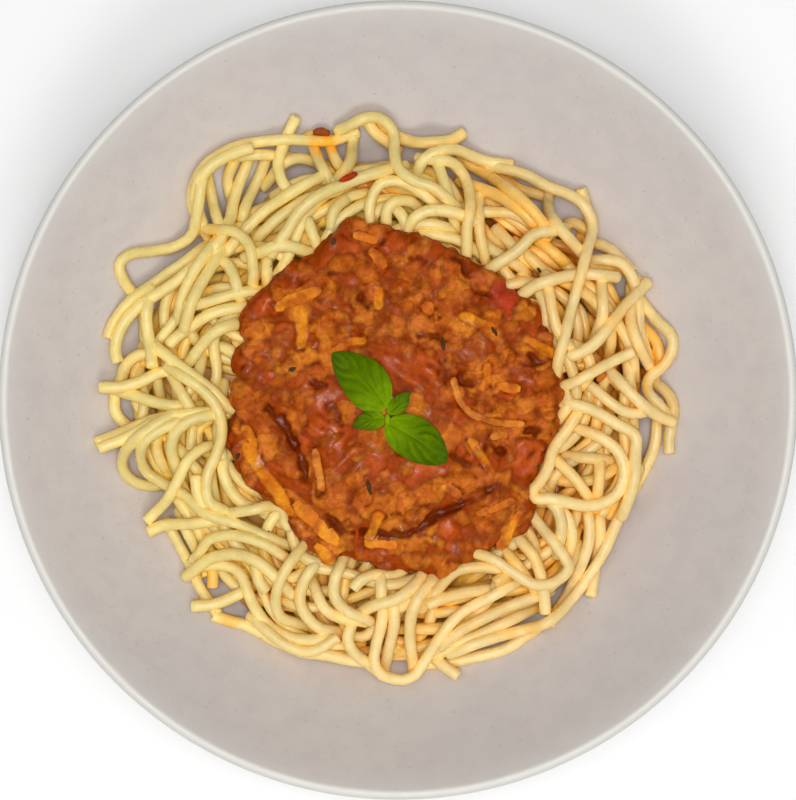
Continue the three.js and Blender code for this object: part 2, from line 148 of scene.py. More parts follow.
def mounds(points, size, share, seed):
    """Bumps about `size` across, from 0 to 1 high, in a share of all places, with narrow valleys where
    they meet, and a number that changes from bump to bump."""
    place, base = in_cells(points + 0.3 * size * strayed(points, 0.8 * size, seed + 1, 3), size, seed)
    height, labels = np.full(len(place), 1e-9), np.full(len(place), 0.5e-9)
    for corner in itertools.product((-1, 0, 1), repeat=3):
        key = base + corner
        middle = key + np.stack([scrambled(key, axis) for axis in (1, 2, 3)], axis=1)
        girth = MOUND_LEAST + MOUND_SPREAD * scrambled(key, 4)
        bump = 2 * girth * np.exp(-np.sum((place - middle) ** 2, axis=1) / girth ** 2)
        bump = np.where(scrambled(key, 5) < share, bump, 0) ** 3
        height += bump
        labels += bump * scrambled(key, 6)
    labels /= height
    height = np.cbrt(height)
    return height * (1 + MOUND_SOFTNESS) / (height + MOUND_SOFTNESS), labels


def flat_noise(x, y, size, seed=0):
    x, y = np.broadcast_arrays(x, y)
    points = np.stack([x.ravel(), y.ravel(), np.zeros(x.size)], axis=1)
    return noise(points, size, seed).reshape(x.shape)


def outline(radii):
    """A smooth closed outline: the radius at any angle, through radii at equal angles."""
    radii = np.array(radii, float)
    count = len(radii)

    def reach(angle):
        place = np.asarray(angle) / TURN * count % count
        index = np.floor(place).astype(int) % count
        part = place - np.floor(place)
        before, start, end, after = (radii[(index + k) % count] for k in (-1, 0, 1, 2))
        bend = 2 * start - 2 * end + (end - before) / 2 + (after - start) / 2
        rise = 3 * end - 3 * start - (end - before) - (after - start) / 2
        return ((bend * part + rise) * part + (end - before) / 2) * part + start

    return reach


def smooth_route(points, step):
    """A Catmull-Rom curve through points, resampled at equal steps."""
    points = np.array(points, float)
    padded = np.vstack([2 * points[0] - points[1], points, 2 * points[-1] - points[-2]])
    part = np.linspace(0, 1, 12, endpoint=False)[:, None]
    pieces = []
    for before, start, end, after in zip(padded, padded[1:], padded[2:], padded[3:]):
        pieces.append(0.5 * (2 * start + (end - before) * part
                             + (2 * before - 5 * start + 4 * end - after) * part ** 2
                             + (3 * start - before - 3 * end + after) * part ** 3))
    curve = np.vstack([*pieces, points[-1:]])
    travelled = np.concatenate([[0], np.cumsum(np.linalg.norm(np.diff(curve, axis=0), axis=1))])
    marks = np.linspace(0, travelled[-1], max(4, round(travelled[-1] / step) + 1))
    return np.stack([np.interp(marks, travelled, axis) for axis in curve.T], axis=1)


def route_distance(x, y, route):
    """How far each place is from a plan route."""
    line = smooth_route(route, ROUTE_STEP)
    return np.sqrt(np.min([(x - at_x) ** 2 + (y - at_y) ** 2 for at_x, at_y in line], axis=0))


heap_reach = outline(HEAP_REACH)
sauce_reach = outline(SAUCE_REACH)


# ---- Meshes ----------------------------------------------------------------------------------

class Shape:
    """Vertices in millimetres, faces, and a colour for each vertex, of one or more parts."""

    def __init__(self):
        self.vertices, self.faces, self.tones, self.count = [], [], [], 0

    def add(self, vertices, faces, tones=None):
        """faces is a list of arrays, each of triangles or quads."""
        vertices = np.asarray(vertices, float)
        if tones is not None:
            self.tones.append(np.broadcast_to(tones, (len(vertices), 3)))
        self.vertices.append(vertices)
        for some in faces:
            self.faces.extend((np.asarray(some) + self.count).tolist())
        self.count += len(vertices)

    def mesh(self, name):
        mesh = bpy.data.meshes.new(name)
        mesh.from_pydata((np.vstack(self.vertices) * MM).tolist(), [], self.faces)
        if self.tones:
            set_tones(mesh, np.vstack(self.tones))
        mesh.shade_smooth()
        return mesh


def set_tones(mesh, tones):
    attribute = mesh.color_attributes.new("tone", "FLOAT_COLOR", "POINT")
    values = np.ones((len(tones), 4), np.float32)
    values[:, :3] = tones
    attribute.data.foreach_set("color", values.ravel())


def set_share(mesh, name, values):
    attribute = mesh.attributes.new(name, "FLOAT", "POINT")
    attribute.data.foreach_set("value", np.asarray(values, np.float32))


def grid_faces(rows, columns, closed=False):
    """Quads of a grid of vertices that are numbered row by row; closed joins its last column to its
    first."""
    row = np.arange(rows - 1)[:, None]
    column = np.arange(columns if closed else columns - 1)[None, :]
    onward = (column + 1) % columns
    corners = [row * columns + column, row * columns + onward,
               (row + 1) * columns + onward, (row + 1) * columns + column]
    return np.stack([corner.ravel() for corner in corners], axis=1)


def ring_faces(rings, sides):
    """Faces of a closed body: rings of vertices, and after them a vertex at each end."""
    turn = np.arange(sides)
    onward = np.roll(turn, -1)
    count, last = rings * sides, (rings - 1) * sides
    return [grid_faces(rings, sides, closed=True),
            np.stack([np.full(sides, count), onward, turn], axis=1),
            np.stack([np.full(sides, count + 1), last + turn, last + onward], axis=1)]


def turned_over(faces):
    return [some[:, ::-1] for some in faces]


def add_piece(name, shape, material, node):
    """Puts a finished shape in the scene as a piece that rides on the body and replaces a node."""
    mesh = shape.mesh(name)
    mesh.materials.append(material)
    piece = bpy.data.objects.new(name, mesh)
    bpy.context.scene.collection.objects.link(piece)
    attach(piece, BODY)
    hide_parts(node)
    return mesh


# ---- Materials -------------------------------------------------------------------------------

class Finish:
    """A Principled material that is built node by node."""

    def __init__(self, name, **fixed):
        self.material = bpy.data.materials.new(name)
        self.material.use_nodes = True
        self.nodes = self.material.node_tree.nodes
        self.links = self.material.node_tree.links
        self.shader = self.nodes["Principled BSDF"]
        for socket, value in fixed.items():
            self.shader.inputs[socket.replace("_", " ")].default_value = value

    def node(self, kind, inputs=(), **settings):
        node = self.nodes.new("ShaderNode" + kind)
        for key, value in settings.items():
            setattr(node, key, value)
        for socket, value in dict(inputs).items():
            if isinstance(value, bpy.types.NodeSocket):
                self.links.new(value, node.inputs[socket])
            else:
                node.inputs[socket].default_value = value
        return node

    def place(self):
        return self.node("TexCoord").outputs["Object"]

    def part(self, vector, axis):
        return self.node("SeparateXYZ", {0: vector}).outputs[axis]

    def ranged(self, value, low, high, to_low=0.0, to_high=1.0):
        inputs = {"Value": value, "From Min": low, "From Max": high, "To Min": to_low, "To Max": to_high}
        return self.node("MapRange", inputs).outputs["Result"]

    def spots(self, scale, detail, roughness=0.5):
        """Noise from 0 to 1; scale is in features for each metre."""
        inputs = {"Vector": self.place(), "Scale": scale, "Detail": detail, "Roughness": roughness}
        return self.node("TexNoise", inputs).outputs["Fac"]

    def patches(self, spots, low, high, to_low=0.0, to_high=1.0):
        """Spots, with what is from low to high spread out from to_low to to_high."""
        return self.ranged(self.spots(*spots), low, high, to_low, to_high)

    def math(self, operation, first, second):
        return self.node("Math", {0: first, 1: second}, operation=operation).outputs[0]

    def mixed(self, part, first, second, blend="MIX"):
        """A mix of two colours, each a socket or linear numbers."""
        colours = [c if isinstance(c, bpy.types.NodeSocket) else (*c, 1.0) for c in (first, second)]
        inputs = {0: part, 6: colours[0], 7: colours[1]}
        return self.node("Mix", inputs, data_type="RGBA", blend_type=blend).outputs[2]

    def grained(self, grain, green=1.0, blue=1.0):
        """The vertices' tone times grain, of which green and blue take a power."""
        shares = [grain if power == 1 else self.math("POWER", grain, power) for power in (1, green, blue)]
        shade = self.node("CombineXYZ", dict(enumerate(shares))).outputs[0]
        tone = self.node("VertexColor", layer_name="tone").outputs["Color"]
        return self.mixed(1.0, tone, shade, "MULTIPLY")

    def share(self, name):
        return self.node("Attribute", attribute_name=name).outputs["Fac"]

    def relief(self, *layers):
        """Fine bumps on bumps, each as spots or a socket, height in metres and strength."""
        normal = None
        for spots, height, strength in layers:
            source = spots if isinstance(spots, bpy.types.NodeSocket) else self.spots(*spots)
            inputs = {"Height": source, "Distance": height, "Strength": strength}
            if normal:
                inputs["Normal"] = normal
            normal = self.node("Bump", inputs).outputs["Normal"]
        return normal

    def wire(self, **sockets):
        for name, source in sockets.items():
            self.links.new(source, self.shader.inputs[name.replace("_", " ")])
        return self.material


GLAZE_WARM = srgb(204, 195, 188)
GLAZE_COOL = srgb(197, 190, 187)
GLAZE_MOTTLE = srgb(185, 176, 175)
GLAZE_SPECK = srgb(156, 144, 137)
GLAZE_OILY = srgb(190, 146, 104)
GLAZE_RIM = srgb(205, 201, 197)
GLAZE_LIP = srgb(206, 204, 197)
BARE_CLAY = srgb(186, 160, 134)
# Where the bowl's colours change, as distances from its axis, and the height up to which it is bare.
OILY_FADE = (60.0, 67.0)
RIM_FADE = (97.0, 101.5)
LIP_FADE = (102.2, 102.8)
BARE_FADE = (1.0, 1.4)


def glaze_material():
    finish = Finish("glaze", IOR=1.5, Specular_IOR_Level=0.35)

    def faded(value, fade, to_low, to_high):
        return finish.ranged(value, fade[0] * MM, fade[1] * MM, to_low, to_high)

    colour = finish.mixed(finish.patches((14, 4, 0.6), 0.35, 0.65), GLAZE_WARM, GLAZE_COOL)
    colour = finish.mixed(finish.patches((160, 4, 0.65), 0.42, 0.62, 0, 0.3), colour, GLAZE_MOTTLE)
    colour = finish.mixed(finish.patches((900, 1), 0.7, 0.76, 0, 0.35), colour, GLAZE_SPECK)
    flat = finish.node("VectorMath", {0: finish.place(), 1: (1, 1, 0)}, operation="MULTIPLY").outputs[0]
    from_axis = finish.node("VectorMath", {0: flat}, operation="LENGTH").outputs["Value"]
    from_axis = finish.math("ADD", from_axis, finish.patches((60, 3), 0.3, 0.7, -0.4 * MM, 0.4 * MM))
    facing_up = finish.ranged(finish.part(finish.node("NewGeometry").outputs["Normal"], "Z"), 0, 0.1)
    oily = finish.math("MULTIPLY", faded(from_axis, OILY_FADE, 0.6, 0), facing_up)
    colour = finish.mixed(oily, colour, GLAZE_OILY)
    colour = finish.mixed(faded(from_axis, RIM_FADE, 0, 0.5), colour, GLAZE_RIM)
    colour = finish.mixed(faded(from_axis, LIP_FADE, 0, 1), colour, GLAZE_LIP)
    bare = faded(finish.part(finish.place(), "Z"), BARE_FADE, 1, 0)
    colour = finish.mixed(bare, colour, BARE_CLAY)
    roughness = finish.patches((220, 3), 0.3, 0.7, 0.34, 0.48)
    roughness = finish.math("MAXIMUM", roughness, finish.math("MULTIPLY", bare, 0.8))
    normal = finish.relief(((70, 3), 0.0004, 0.35), ((1400, 2), 0.00004, 0.6))
    return finish.wire(Base_Color=colour, Roughness=roughness, Normal=normal)


def pasta_material():
    finish = Finish("pasta", Subsurface_Weight=0.8, Subsurface_Scale=0.0034,
                    Subsurface_Radius=(1.0, 0.75, 0.35), Specular_IOR_Level=0.36)
    finish.shader.subsurface_method = "BURLEY"
    cloud = finish.patches((260, 3, 0.6), 0.35, 0.65, 0.92, 1.04)
    return finish.wire(Base_Color=finish.grained(cloud, blue=1.6),
                       Roughness=finish.patches((420, 3), 0.3, 0.7, 0.24, 0.42),
                       Normal=finish.relief(((330, 2), 0.0003, 0.5), ((1900, 3), 0.00006, 0.7)))


def sauce_material():
    finish = Finish("sauce", Subsurface_Weight=0.12, Subsurface_Scale=0.0008,
                    Subsurface_Radius=(1.0, 0.25, 0.05))
    grain = finish.patches((1100, 4, 0.7), 0.3, 0.7, 0.86, 1.14)
    wet = finish.share("wet")
    return finish.wire(Base_Color=finish.grained(grain, 1.6, 2.0),
                       Roughness=finish.ranged(wet, 0, 1, 0.42, 0.12),
                       Specular_IOR_Level=finish.ranged(wet, 0, 1, 0.05, 0.5),
                       Normal=finish.relief(((1000, 4, 0.65), 0.0003, 0.7), ((3200, 2), 0.00008, 0.5)))


def shred_material(name):
    """Cooked vegetables in oily sauce."""
    finish = Finish(name, Subsurface_Weight=0.25, Subsurface_Scale=0.0012,
                    Subsurface_Radius=(1.0, 0.4, 0.1), Specular_IOR_Level=0.05)
    grain = finish.patches((900, 4, 0.65), 0.3, 0.7, 0.86, 1.12)
    return finish.wire(Base_Color=finish.grained(grain, green=1.5),
                       Roughness=finish.patches((500, 2), 0.3, 0.7, 0.26, 0.44),
                       Normal=finish.relief(((1300, 3), 0.0002, 0.6)))


def basil_material():
    finish = Finish("basil", Subsurface_Weight=0.1, Subsurface_Scale=0.0008,
                    Subsurface_Radius=(0.5, 1.0, 0.1), Specular_IOR_Level=0.02)
    pores = finish.node("TexVoronoi", {"Vector": finish.place(), "Scale": 2200}).outputs["Distance"]
    return finish.wire(Base_Color=finish.grained(finish.patches((420, 4, 0.6), 0.35, 0.65, 0.84, 1.1)),
                       Roughness=finish.patches((900, 3), 0.3, 0.7, 0.34, 0.5),
                       Normal=finish.relief((pores, 0.00008, 0.4)))


# ---- Camera, light and floor -----------------------------------------------------------------

CAMERA_HEIGHT = 0.620
CAMERA_LENS = 97.9
# Soft boxes that point at the bowl's middle: name, place, size and power.
SOFT_BOXES = [
    ("key_box", (0.02, -0.5, 0.78), 0.35, 2.7),
    ("left_box", (-0.42, 0.02, 0.8), 0.4, 0.7),
    ("right_box", (0.42, 0.02, 0.8), 0.4, 0.7),
    ("top_box", (0, 0, 1.1), 0.4, 6.4),
]
WORLD_LIGHT = 0.2
FLOOR_HALF = 3.0
FLOOR_TONES = (0.93, 0.93, 0.93), (0.88, 0.88, 0.88)


def make_stage():
    link = bpy.context.scene.collection.objects.link
    camera = bpy.data.objects.new("camera", bpy.data.cameras.new("camera"))
    camera.location = (0, 0, CAMERA_HEIGHT)
    camera.data.lens = CAMERA_LENS
    camera.data.clip_start = 0.01
    link(camera)
    bpy.context.scene.camera = camera

    for name, place, size, power in SOFT_BOXES:
        light = bpy.data.lights.new(name, "AREA")
        light.size = size
        light.energy = power
        lamp = bpy.data.objects.new(name, light)
        lamp.location = place
        lamp.rotation_euler = (-lamp.location).to_track_quat("-Z", "Y").to_euler()
        lamp.visible_camera = False
        link(lamp)

    world = bpy.data.worlds.new("studio")
    world.use_nodes = True
    background = world.node_tree.nodes["Background"].inputs
    background["Color"].default_value = (1, 1, 1, 1)
    background["Strength"].default_value = WORLD_LIGHT
    bpy.context.scene.world = world
    bpy.context.scene.view_settings.view_transform = "Standard"

    finish = Finish("floor_paint", Roughness=0.8)
    mesh = bpy.data.meshes.new("floor")
    corners = [(FLOOR_HALF * x, FLOOR_HALF * y, 0) for x, y in ((-1, -1), (1, -1), (1, 1), (-1, 1))]
    mesh.from_pydata(corners, [], [(0, 1, 2, 3)])
    mesh.materials.append(finish.wire(Base_Color=finish.mixed(finish.spots(6, 2), *FLOOR_TONES)))
    floor = bpy.data.objects.new("floor", mesh)
    link(floor)


# ---- Bowl ------------------------------------------------------------------------------------

rim_slope = math.atan(WALL_RISE_POWER * (BOWL_HEIGHT - FLOOR_HEIGHT)
                      / (BOWL_RADIUS - FLOOR_RADIUS - LIP_RADIUS))
INNER_RIM_RADIUS = BOWL_RADIUS - LIP_RADIUS - LIP_RADIUS * math.sin(rim_slope)
INNER_RIM_HEIGHT = BOWL_HEIGHT - LIP_RADIUS + LIP_RADIUS * math.cos(rim_slope)
WALL_RISE = INNER_RIM_HEIGHT - FLOOR_HEIGHT


def bowl_inside(radius):
    part = np.maximum(0, (np.asarray(radius) - FLOOR_RADIUS) / (INNER_RIM_RADIUS - FLOOR_RADIUS))
    return FLOOR_HEIGHT + WALL_RISE * part ** WALL_RISE_POWER


def bowl_slope(radius):
    part = np.maximum(0, (np.asarray(radius) - FLOOR_RADIUS) / (INNER_RIM_RADIUS - FLOOR_RADIUS))
    steepest = WALL_RISE_POWER * WALL_RISE / (INNER_RIM_RADIUS - FLOOR_RADIUS)
    return np.arctan(steepest * part ** (WALL_RISE_POWER - 1))


BOWL_SEGMENTS = 240
WALL_START_RADIUS = 52.0
WALL_SWELL = 1.4
# The foot ring's rounded edges, as (distance from its inner or outer radius, height).
FOOT_INSIDE = [(-0.6, 1.6), (-0.1, 0.6), (0.6, 0.12), (1.5, 0)]
FOOT_OUTSIDE = [(-1.6, 0), (-0.9, 0.2), (-0.5, 0.9)]


def bowl_profile():
    """From the middle of the underside, out and up the wall, over the lip and back to the middle."""
    foot_inner = FOOT_OUTER_RADIUS - FOOT_WIDTH
    under = [(radius, FOOT_RECESS) for radius in np.linspace(0, foot_inner - 1.5, 6)]
    foot = [(foot_inner + out, height) for out, height in FOOT_INSIDE]
    foot += [(FOOT_OUTER_RADIUS + out, height) for out, height in FOOT_OUTSIDE]
    wall = []
    for part in np.linspace(0, 1, 26):
        radius = WALL_START_RADIUS + (INNER_RIM_RADIUS - WALL_START_RADIUS) * part
        thickness = BOWL_WALL + WALL_SWELL * (1 - part)
        slope = bowl_slope(radius)
        wall.append((radius + thickness * math.sin(slope),
                     bowl_inside(radius) - thickness * math.cos(slope)))
    lip = []
    for turn in np.radians(np.arange(18, 180, 18)):
        angle = rim_slope - math.pi / 2 + turn
        lip.append((BOWL_RADIUS - LIP_RADIUS + LIP_RADIUS * math.cos(angle),
                    BOWL_HEIGHT - LIP_RADIUS + LIP_RADIUS * math.sin(angle)))
    inside = [(radius, bowl_inside(radius)) for radius in np.linspace(INNER_RIM_RADIUS, FLOOR_RADIUS, 34)]
    floor = [(radius, FLOOR_HEIGHT) for radius in np.linspace(FLOOR_RADIUS, 0, 6)[1:]]
    return np.array(under + foot + wall + lip + inside + floor)


def make_bowl():
    profile = bowl_profile()
    ring = profile[1:-1]
    angles = np.linspace(0, TURN, BOWL_SEGMENTS, endpoint=False)
    x = ring[:, :1] * np.cos(angles)
    y = ring[:, :1] * np.sin(angles)
    z = np.broadcast_to(ring[:, 1:], x.shape)
    vertices = np.stack([x.ravel(), y.ravel(), z.ravel()], axis=1)
    ends = [(0, 0, profile[0, 1]), (0, 0, profile[-1, 1])]
    shape = Shape()
    shape.add(np.vstack([vertices, ends]), ring_faces(len(ring), BOWL_SEGMENTS))
    add_piece("coupe_bowl", shape, glaze_material(), "bowl")


# ---- Spaghetti: routes of the strands that show ----------------------------------------------

# Plan routes in millimetres, the lower strands first. cut names the ends that show as cut ends;
# the other ends run on under other strands or under the sauce. sauce is how far a strand is coated.

def strand(points, cut="", sauce=0.0):
    return {"points": points, "cut": cut, "sauce": sauce}


LOWER_STRANDS = [
    # upper left
    strand([(-45, 64), (-46.5, 60.5), (-46, 56), (-44, 52.5)]),
    strand([(-41.5, 63.5), (-43.5, 58.5), (-45, 53.5), (-45.5, 49.5), (-47.5, 44.5), (-50.5, 39)]),
    strand([(-37.5, 62.5), (-39.5, 58), (-41.5, 53), (-42.5, 48)]),
    strand([(-43.5, 66), (-37.5, 66.5), (-33.5, 66.5)]),
    strand([(-34.5, 61), (-31, 64.5), (-27, 66), (-21.5, 65)]),
    strand([(-27.5, 76.5), (-29.5, 73), (-31.5, 68), (-32.5, 63.5), (-31, 58.5), (-28, 55.5)], cut="start"),
    strand([(-51.5, 59.5), (-50.5, 54), (-49, 49), (-47.5, 46)]),
    strand([(-23, 69), (-21, 64), (-18.5, 59.5)]),
    strand([(-18.5, 69), (-16.5, 64.5), (-14, 61)]),
    strand([(-12.5, 69), (-13, 64.5), (-16, 60)]),
    strand([(-14.5, 54), (-17, 51.5), (-18, 47.5)]),
    strand([(-24.5, 49), (-22.5, 43.5)]),
    strand([(-38, 39.5), (-31, 41.5), (-23.5, 39.5)]),
    strand([(-35.5, 38), (-35, 31)]),
    # left
    strand([(-66, 13), (-71, 12), (-74, 9.5), (-75.5, 5.5), (-77, 1), (-77, -3), (-75, -6), (-72, -8.5)]),
    strand([(-76, 2.5), (-70.5, 1), (-66, -0.5), (-61, -1.5), (-57, -1.5)]),
    strand([(-60.5, 5.5), (-58, 1.5), (-55, -3.5)]),
    strand([(-50, 15), (-46.5, 14), (-43, 11.5)]),
    strand([(-58.5, -33.5), (-56, -39), (-54, -44.5)]),
    strand([(-68, -36), (-63.5, -34), (-56.5, -33.5), (-48.5, -32.5)], cut="start"),
    strand([(-47, -17), (-46.5, -21.5), (-44.5, -25.5), (-41, -28.5), (-35.5, -29.5)]),
    # lower left
    strand([(-62, -36), (-59.5, -40.5), (-56.5, -46), (-54, -51.5), (-51.5, -55)]),
    strand([(-50.5, -44.5), (-50.5, -51)], cut="end", sauce=0.9),
    strand([(-46.5, -60), (-40.5, -62), (-34, -65.5), (-27, -68.5), (-20, -69), (-13.5, -70.5),
            (-7.5, -71.5)]),
    strand([(-56, -56), (-50, -55.5), (-45, -53.5), (-41, -51.5)], cut="start"),
    # bottom
    strand([(11, -47.5), (6.5, -52.5), (0.5, -56), (-2.5, -58.5)]),
    strand([(29.5, -46), (22.5, -45), (16, -46), (11.5, -50), (8, -54.5)], sauce=0.3),
    strand([(25.5, -51), (17.5, -52), (11.5, -53.5), (8, -55)], cut="end", sauce=0.3),
    strand([(-4.5, -47.5), (-4.5, -52.5)]),
    # lower right
    strand([(26, -49), (30.5, -46.5)], cut="start", sauce=0.6),
    strand([(35, -64.5), (29.5, -68), (22.5, -70), (16, -71.5), (11, -72)]),
    strand([(29.5, -41.5), (32.5, -45), (35, -48.5)], sauce=0.7),
    strand([(55, -31.5), (55, -38.5), (54, -46), (52.5, -54.5)], cut="end"),
    # right
    strand([(71, -7), (70.5, -12), (68.5, -17.5), (65.5, -23)]),
    strand([(52.5, 3.5), (57.5, -0.8), (61.5, -3.2), (65.5, -3.6), (68, -2.4)]),
    strand([(63.5, 24.5), (67, 20.5), (70.6, 16.5), (71.6, 12.5)], sauce=0.9),
    strand([(48.5, -15.5), (55, -16)], sauce=0.3),
    strand([(54.5, -17), (54, -25)], sauce=0.4),
    strand([(43, -16.5), (48, -21.5), (51.5, -26.5)], sauce=0.3),
    # upper right
    strand([(53, 43.5), (58, 41.5), (61.5, 38)]),
    strand([(64.5, 33.5), (68, 30.5)], cut="end"),
    strand([(39, 42.5), (44.5, 38)], sauce=0.9),
    strand([(20, 58.5), (27, 55.5), (32.5, 51.5), (38, 46.5)], sauce=0.8),
    strand([(19.5, 65), (25.5, 61), (31, 56), (35.5, 51.5), (39.5, 47)], sauce=0.7),
    strand([(46.5, 44.5), (46, 47.5), (48.5, 49), (50.5, 47.5)]),
    strand([(50, 57.5), (51.2, 53.6), (52.4, 50.2)], cut="start"),
    strand([(40.5, 30.5), (41.5, 24), (43, 18.5), (46.5, 14)], sauce=0.2),
    strand([(55, 28.5), (55, 23), (53.5, 17.5), (51.5, 12.5)], sauce=0.2),
    strand([(30.5, 60.4), (33.5, 58.2), (38, 56.8)], sauce=0.4),
    strand([(50, 36), (55, 36.6), (58.5, 36.5)]),
    # top
    strand([(10.5, 64.5), (12, 60), (13.5, 54.5), (15, 49.5)]),
    strand([(18, 73), (13.5, 70.5), (6, 70), (0, 72), (-4, 74.5)], cut="start", sauce=0.25),
    strand([(22, 52), (22, 45.5), (23.5, 39)], sauce=0.3),
]

MIDDLE_STRANDS = [
    # upper left
    strand([(-14.5, 72), (-18.5, 70.5), (-27, 70.5), (-36.5, 70), (-43.5, 68.5), (-49, 65.5), (-53, 62),
            (-55.5, 57.5), (-56, 53.5), (-55, 49.5)]),
    strand([(-39.2, 67.8), (-44, 66.4), (-48.5, 64), (-52, 61), (-54.5, 57), (-54.5, 52.5),
            (-53, 47.5)], cut="start"),
    strand([(-52.5, 59.5), (-53.5, 53.5), (-54.5, 49), (-56, 45), (-60.5, 42), (-66.5, 40.5), (-72, 39.5),
            (-75, 37), (-75, 34.5), (-73.5, 31), (-71, 27.5), (-69.5, 22.5), (-69, 15)]),
    strand([(-21.5, 60), (-29.5, 55.5), (-36.5, 51), (-42, 45.5), (-47.5, 39)]),
    strand([(-17, 56.5), (-25.5, 53.5), (-32.5, 49), (-38.5, 43.5)]),
    # left
    strand([(-53, 41.5), (-58.5, 37), (-64, 33.5), (-69.5, 29.5), (-74, 25.5), (-77.5, 20.5),
            (-79, 16)], cut="end"),
    strand([(-54.5, 36.5), (-60, 32), (-65.5, 28.5), (-70.5, 25), (-74, 21), (-76, 16.5), (-76.5, 12.5),
            (-75.5, 9.5)], cut="end"),
    strand([(-51, 40.5), (-55, 34.5), (-58, 28), (-59, 24)]),
    strand([(-37.5, 29.5), (-44.5, 28.5), (-53, 26), (-58.5, 25)], cut="end"),
    strand([(-42, 25), (-49.5, 23.5), (-55, 20.5), (-60.5, 16.5), (-62.5, 14)], cut="end"),
    strand([(-43.5, 20.5), (-49.5, 18), (-53.5, 14), (-57, 9.5)]),
    strand([(-80.5, 3.5), (-75, 3.5), (-69.5, 5), (-65.5, 7), (-61, 8.5)], cut="start"),
    strand([(-81.5, -11.5), (-74, -8.5), (-66.5, -5.5), (-58.5, -4), (-51, -3.2)], cut="start"),
    strand([(-80.5, -13), (-74, -10.5), (-68.5, -7.5), (-64, -5)], cut="start"),
    strand([(-61, -4), (-66.5, -7.5), (-71.5, -11.5), (-74.5, -15.5), (-74.5, -19.5), (-71.5, -22.5),
            (-67.5, -23.5), (-63.5, -23)]),
    strand([(-58.5, -5.5), (-64.5, -8.5), (-68.5, -12), (-69.5, -16.5), (-68, -20), (-64, -22.5),
            (-58, -25.5), (-52, -30.5), (-44.5, -33), (-37.5, -36), (-29.5, -39.5)]),
    strand([(-54.5, -20.5), (-54, -25), (-52, -29)], cut="start"),
    # lower left
    strand([(-53.5, -45), (-46.5, -45), (-42.5, -47.5), (-40.5, -52.5), (-38.5, -57), (-35, -61.5),
            (-29.5, -64.5), (-23.5, -65), (-18.5, -64.5)]),
    strand([(-37.5, -61), (-31, -66), (-25.5, -68), (-21, -67), (-15.5, -63.5)], cut="end"),
    strand([(-53.5, -41), (-50.5, -37.5), (-43.5, -36.5), (-35.5, -39), (-30.5, -42.5)]),
    strand([(-45.5, -30.5), (-39, -29.5), (-34.5, -28.5), (-31, -30.5), (-30, -34)]),
    strand([(-38.5, -44), (-37.5, -48.5), (-35.5, -51.5)], cut="end"),
    # bottom
    strand([(0, -47), (-6, -47), (-10, -48.5), (-12.5, -51.5)], cut="end"),
    strand([(6, -48), (0.5, -53), (-7, -55.5), (-11.5, -59), (-13.5, -64), (-12, -68), (-7.5, -72)]),
    strand([(9.5, -48), (5.5, -53), (3.5, -58.5), (3.3, -64.5), (4, -71)]),
    strand([(9.5, -70.2), (13, -72.8), (17.2, -75.6)], cut="end"),
    # lower right
    strand([(38, -57), (31.5, -59.5), (24.5, -62.5), (18.5, -65), (13.5, -68)]),
    strand([(38, -53), (30.5, -55.5), (24, -58.5), (17.5, -62), (12, -66.5)]),
    strand([(51.5, -29.5), (52, -37), (50, -44.5), (47, -52.5), (43.5, -58)]),
    strand([(42, -27.5), (45.5, -31.5), (47, -37), (45.5, -43)]),
    strand([(39, -25.5), (42.5, -29), (44, -33.5), (43.5, -38.5)]),
    strand([(33, -38), (36.5, -42), (38.5, -47.5), (39.5, -53), (40, -58.5)], cut="end"),
    # right
    strand([(69.5, 5.5), (73.5, 2), (75.2, -2), (74.6, -6.5), (74, -11), (74, -15.5)], cut="end"),
    strand([(58, 7), (63.5, 1), (69, -3.5), (75, -6.2)], cut="end"),
    # upper right
    strand([(53, 38), (60, 37.5), (63.5, 34), (65.5, 27.5), (66, 20.5), (67.6, 14.4), (69.2, 11.4)]),
    strand([(67.5, 26), (70.5, 22), (74.5, 17.5), (74.5, 13), (72, 9), (68.5, 6), (68, 2), (71.5, -2)]),
    strand([(63.5, 28), (63, 21.5), (65, 15), (68.5, 9.5)]),
    strand([(32.5, 27.5), (36.5, 30.5), (42, 32.5), (49.5, 34), (56.5, 33.5)]),
    strand([(41.5, 45.5), (36.5, 44.5), (32.5, 40.5), (28, 37.5), (24.5, 35)]),
    # top
    strand([(31.5, 64.5), (24, 65.5), (16, 68), (10.5, 67), (6.5, 64.5), (5, 60.5)], cut="start"),
    strand([(2, 44.5), (4, 48.5), (8.5, 51), (14.5, 50.5), (17.5, 49.5)]),
    strand([(-3, 46), (-3, 51), (-0.5, 53.5), (3.5, 53.5), (6.5, 51)]),
    strand([(-8.5, 76), (-6.5, 73), (-3, 70.5)], cut="start", sauce=0.2),
]

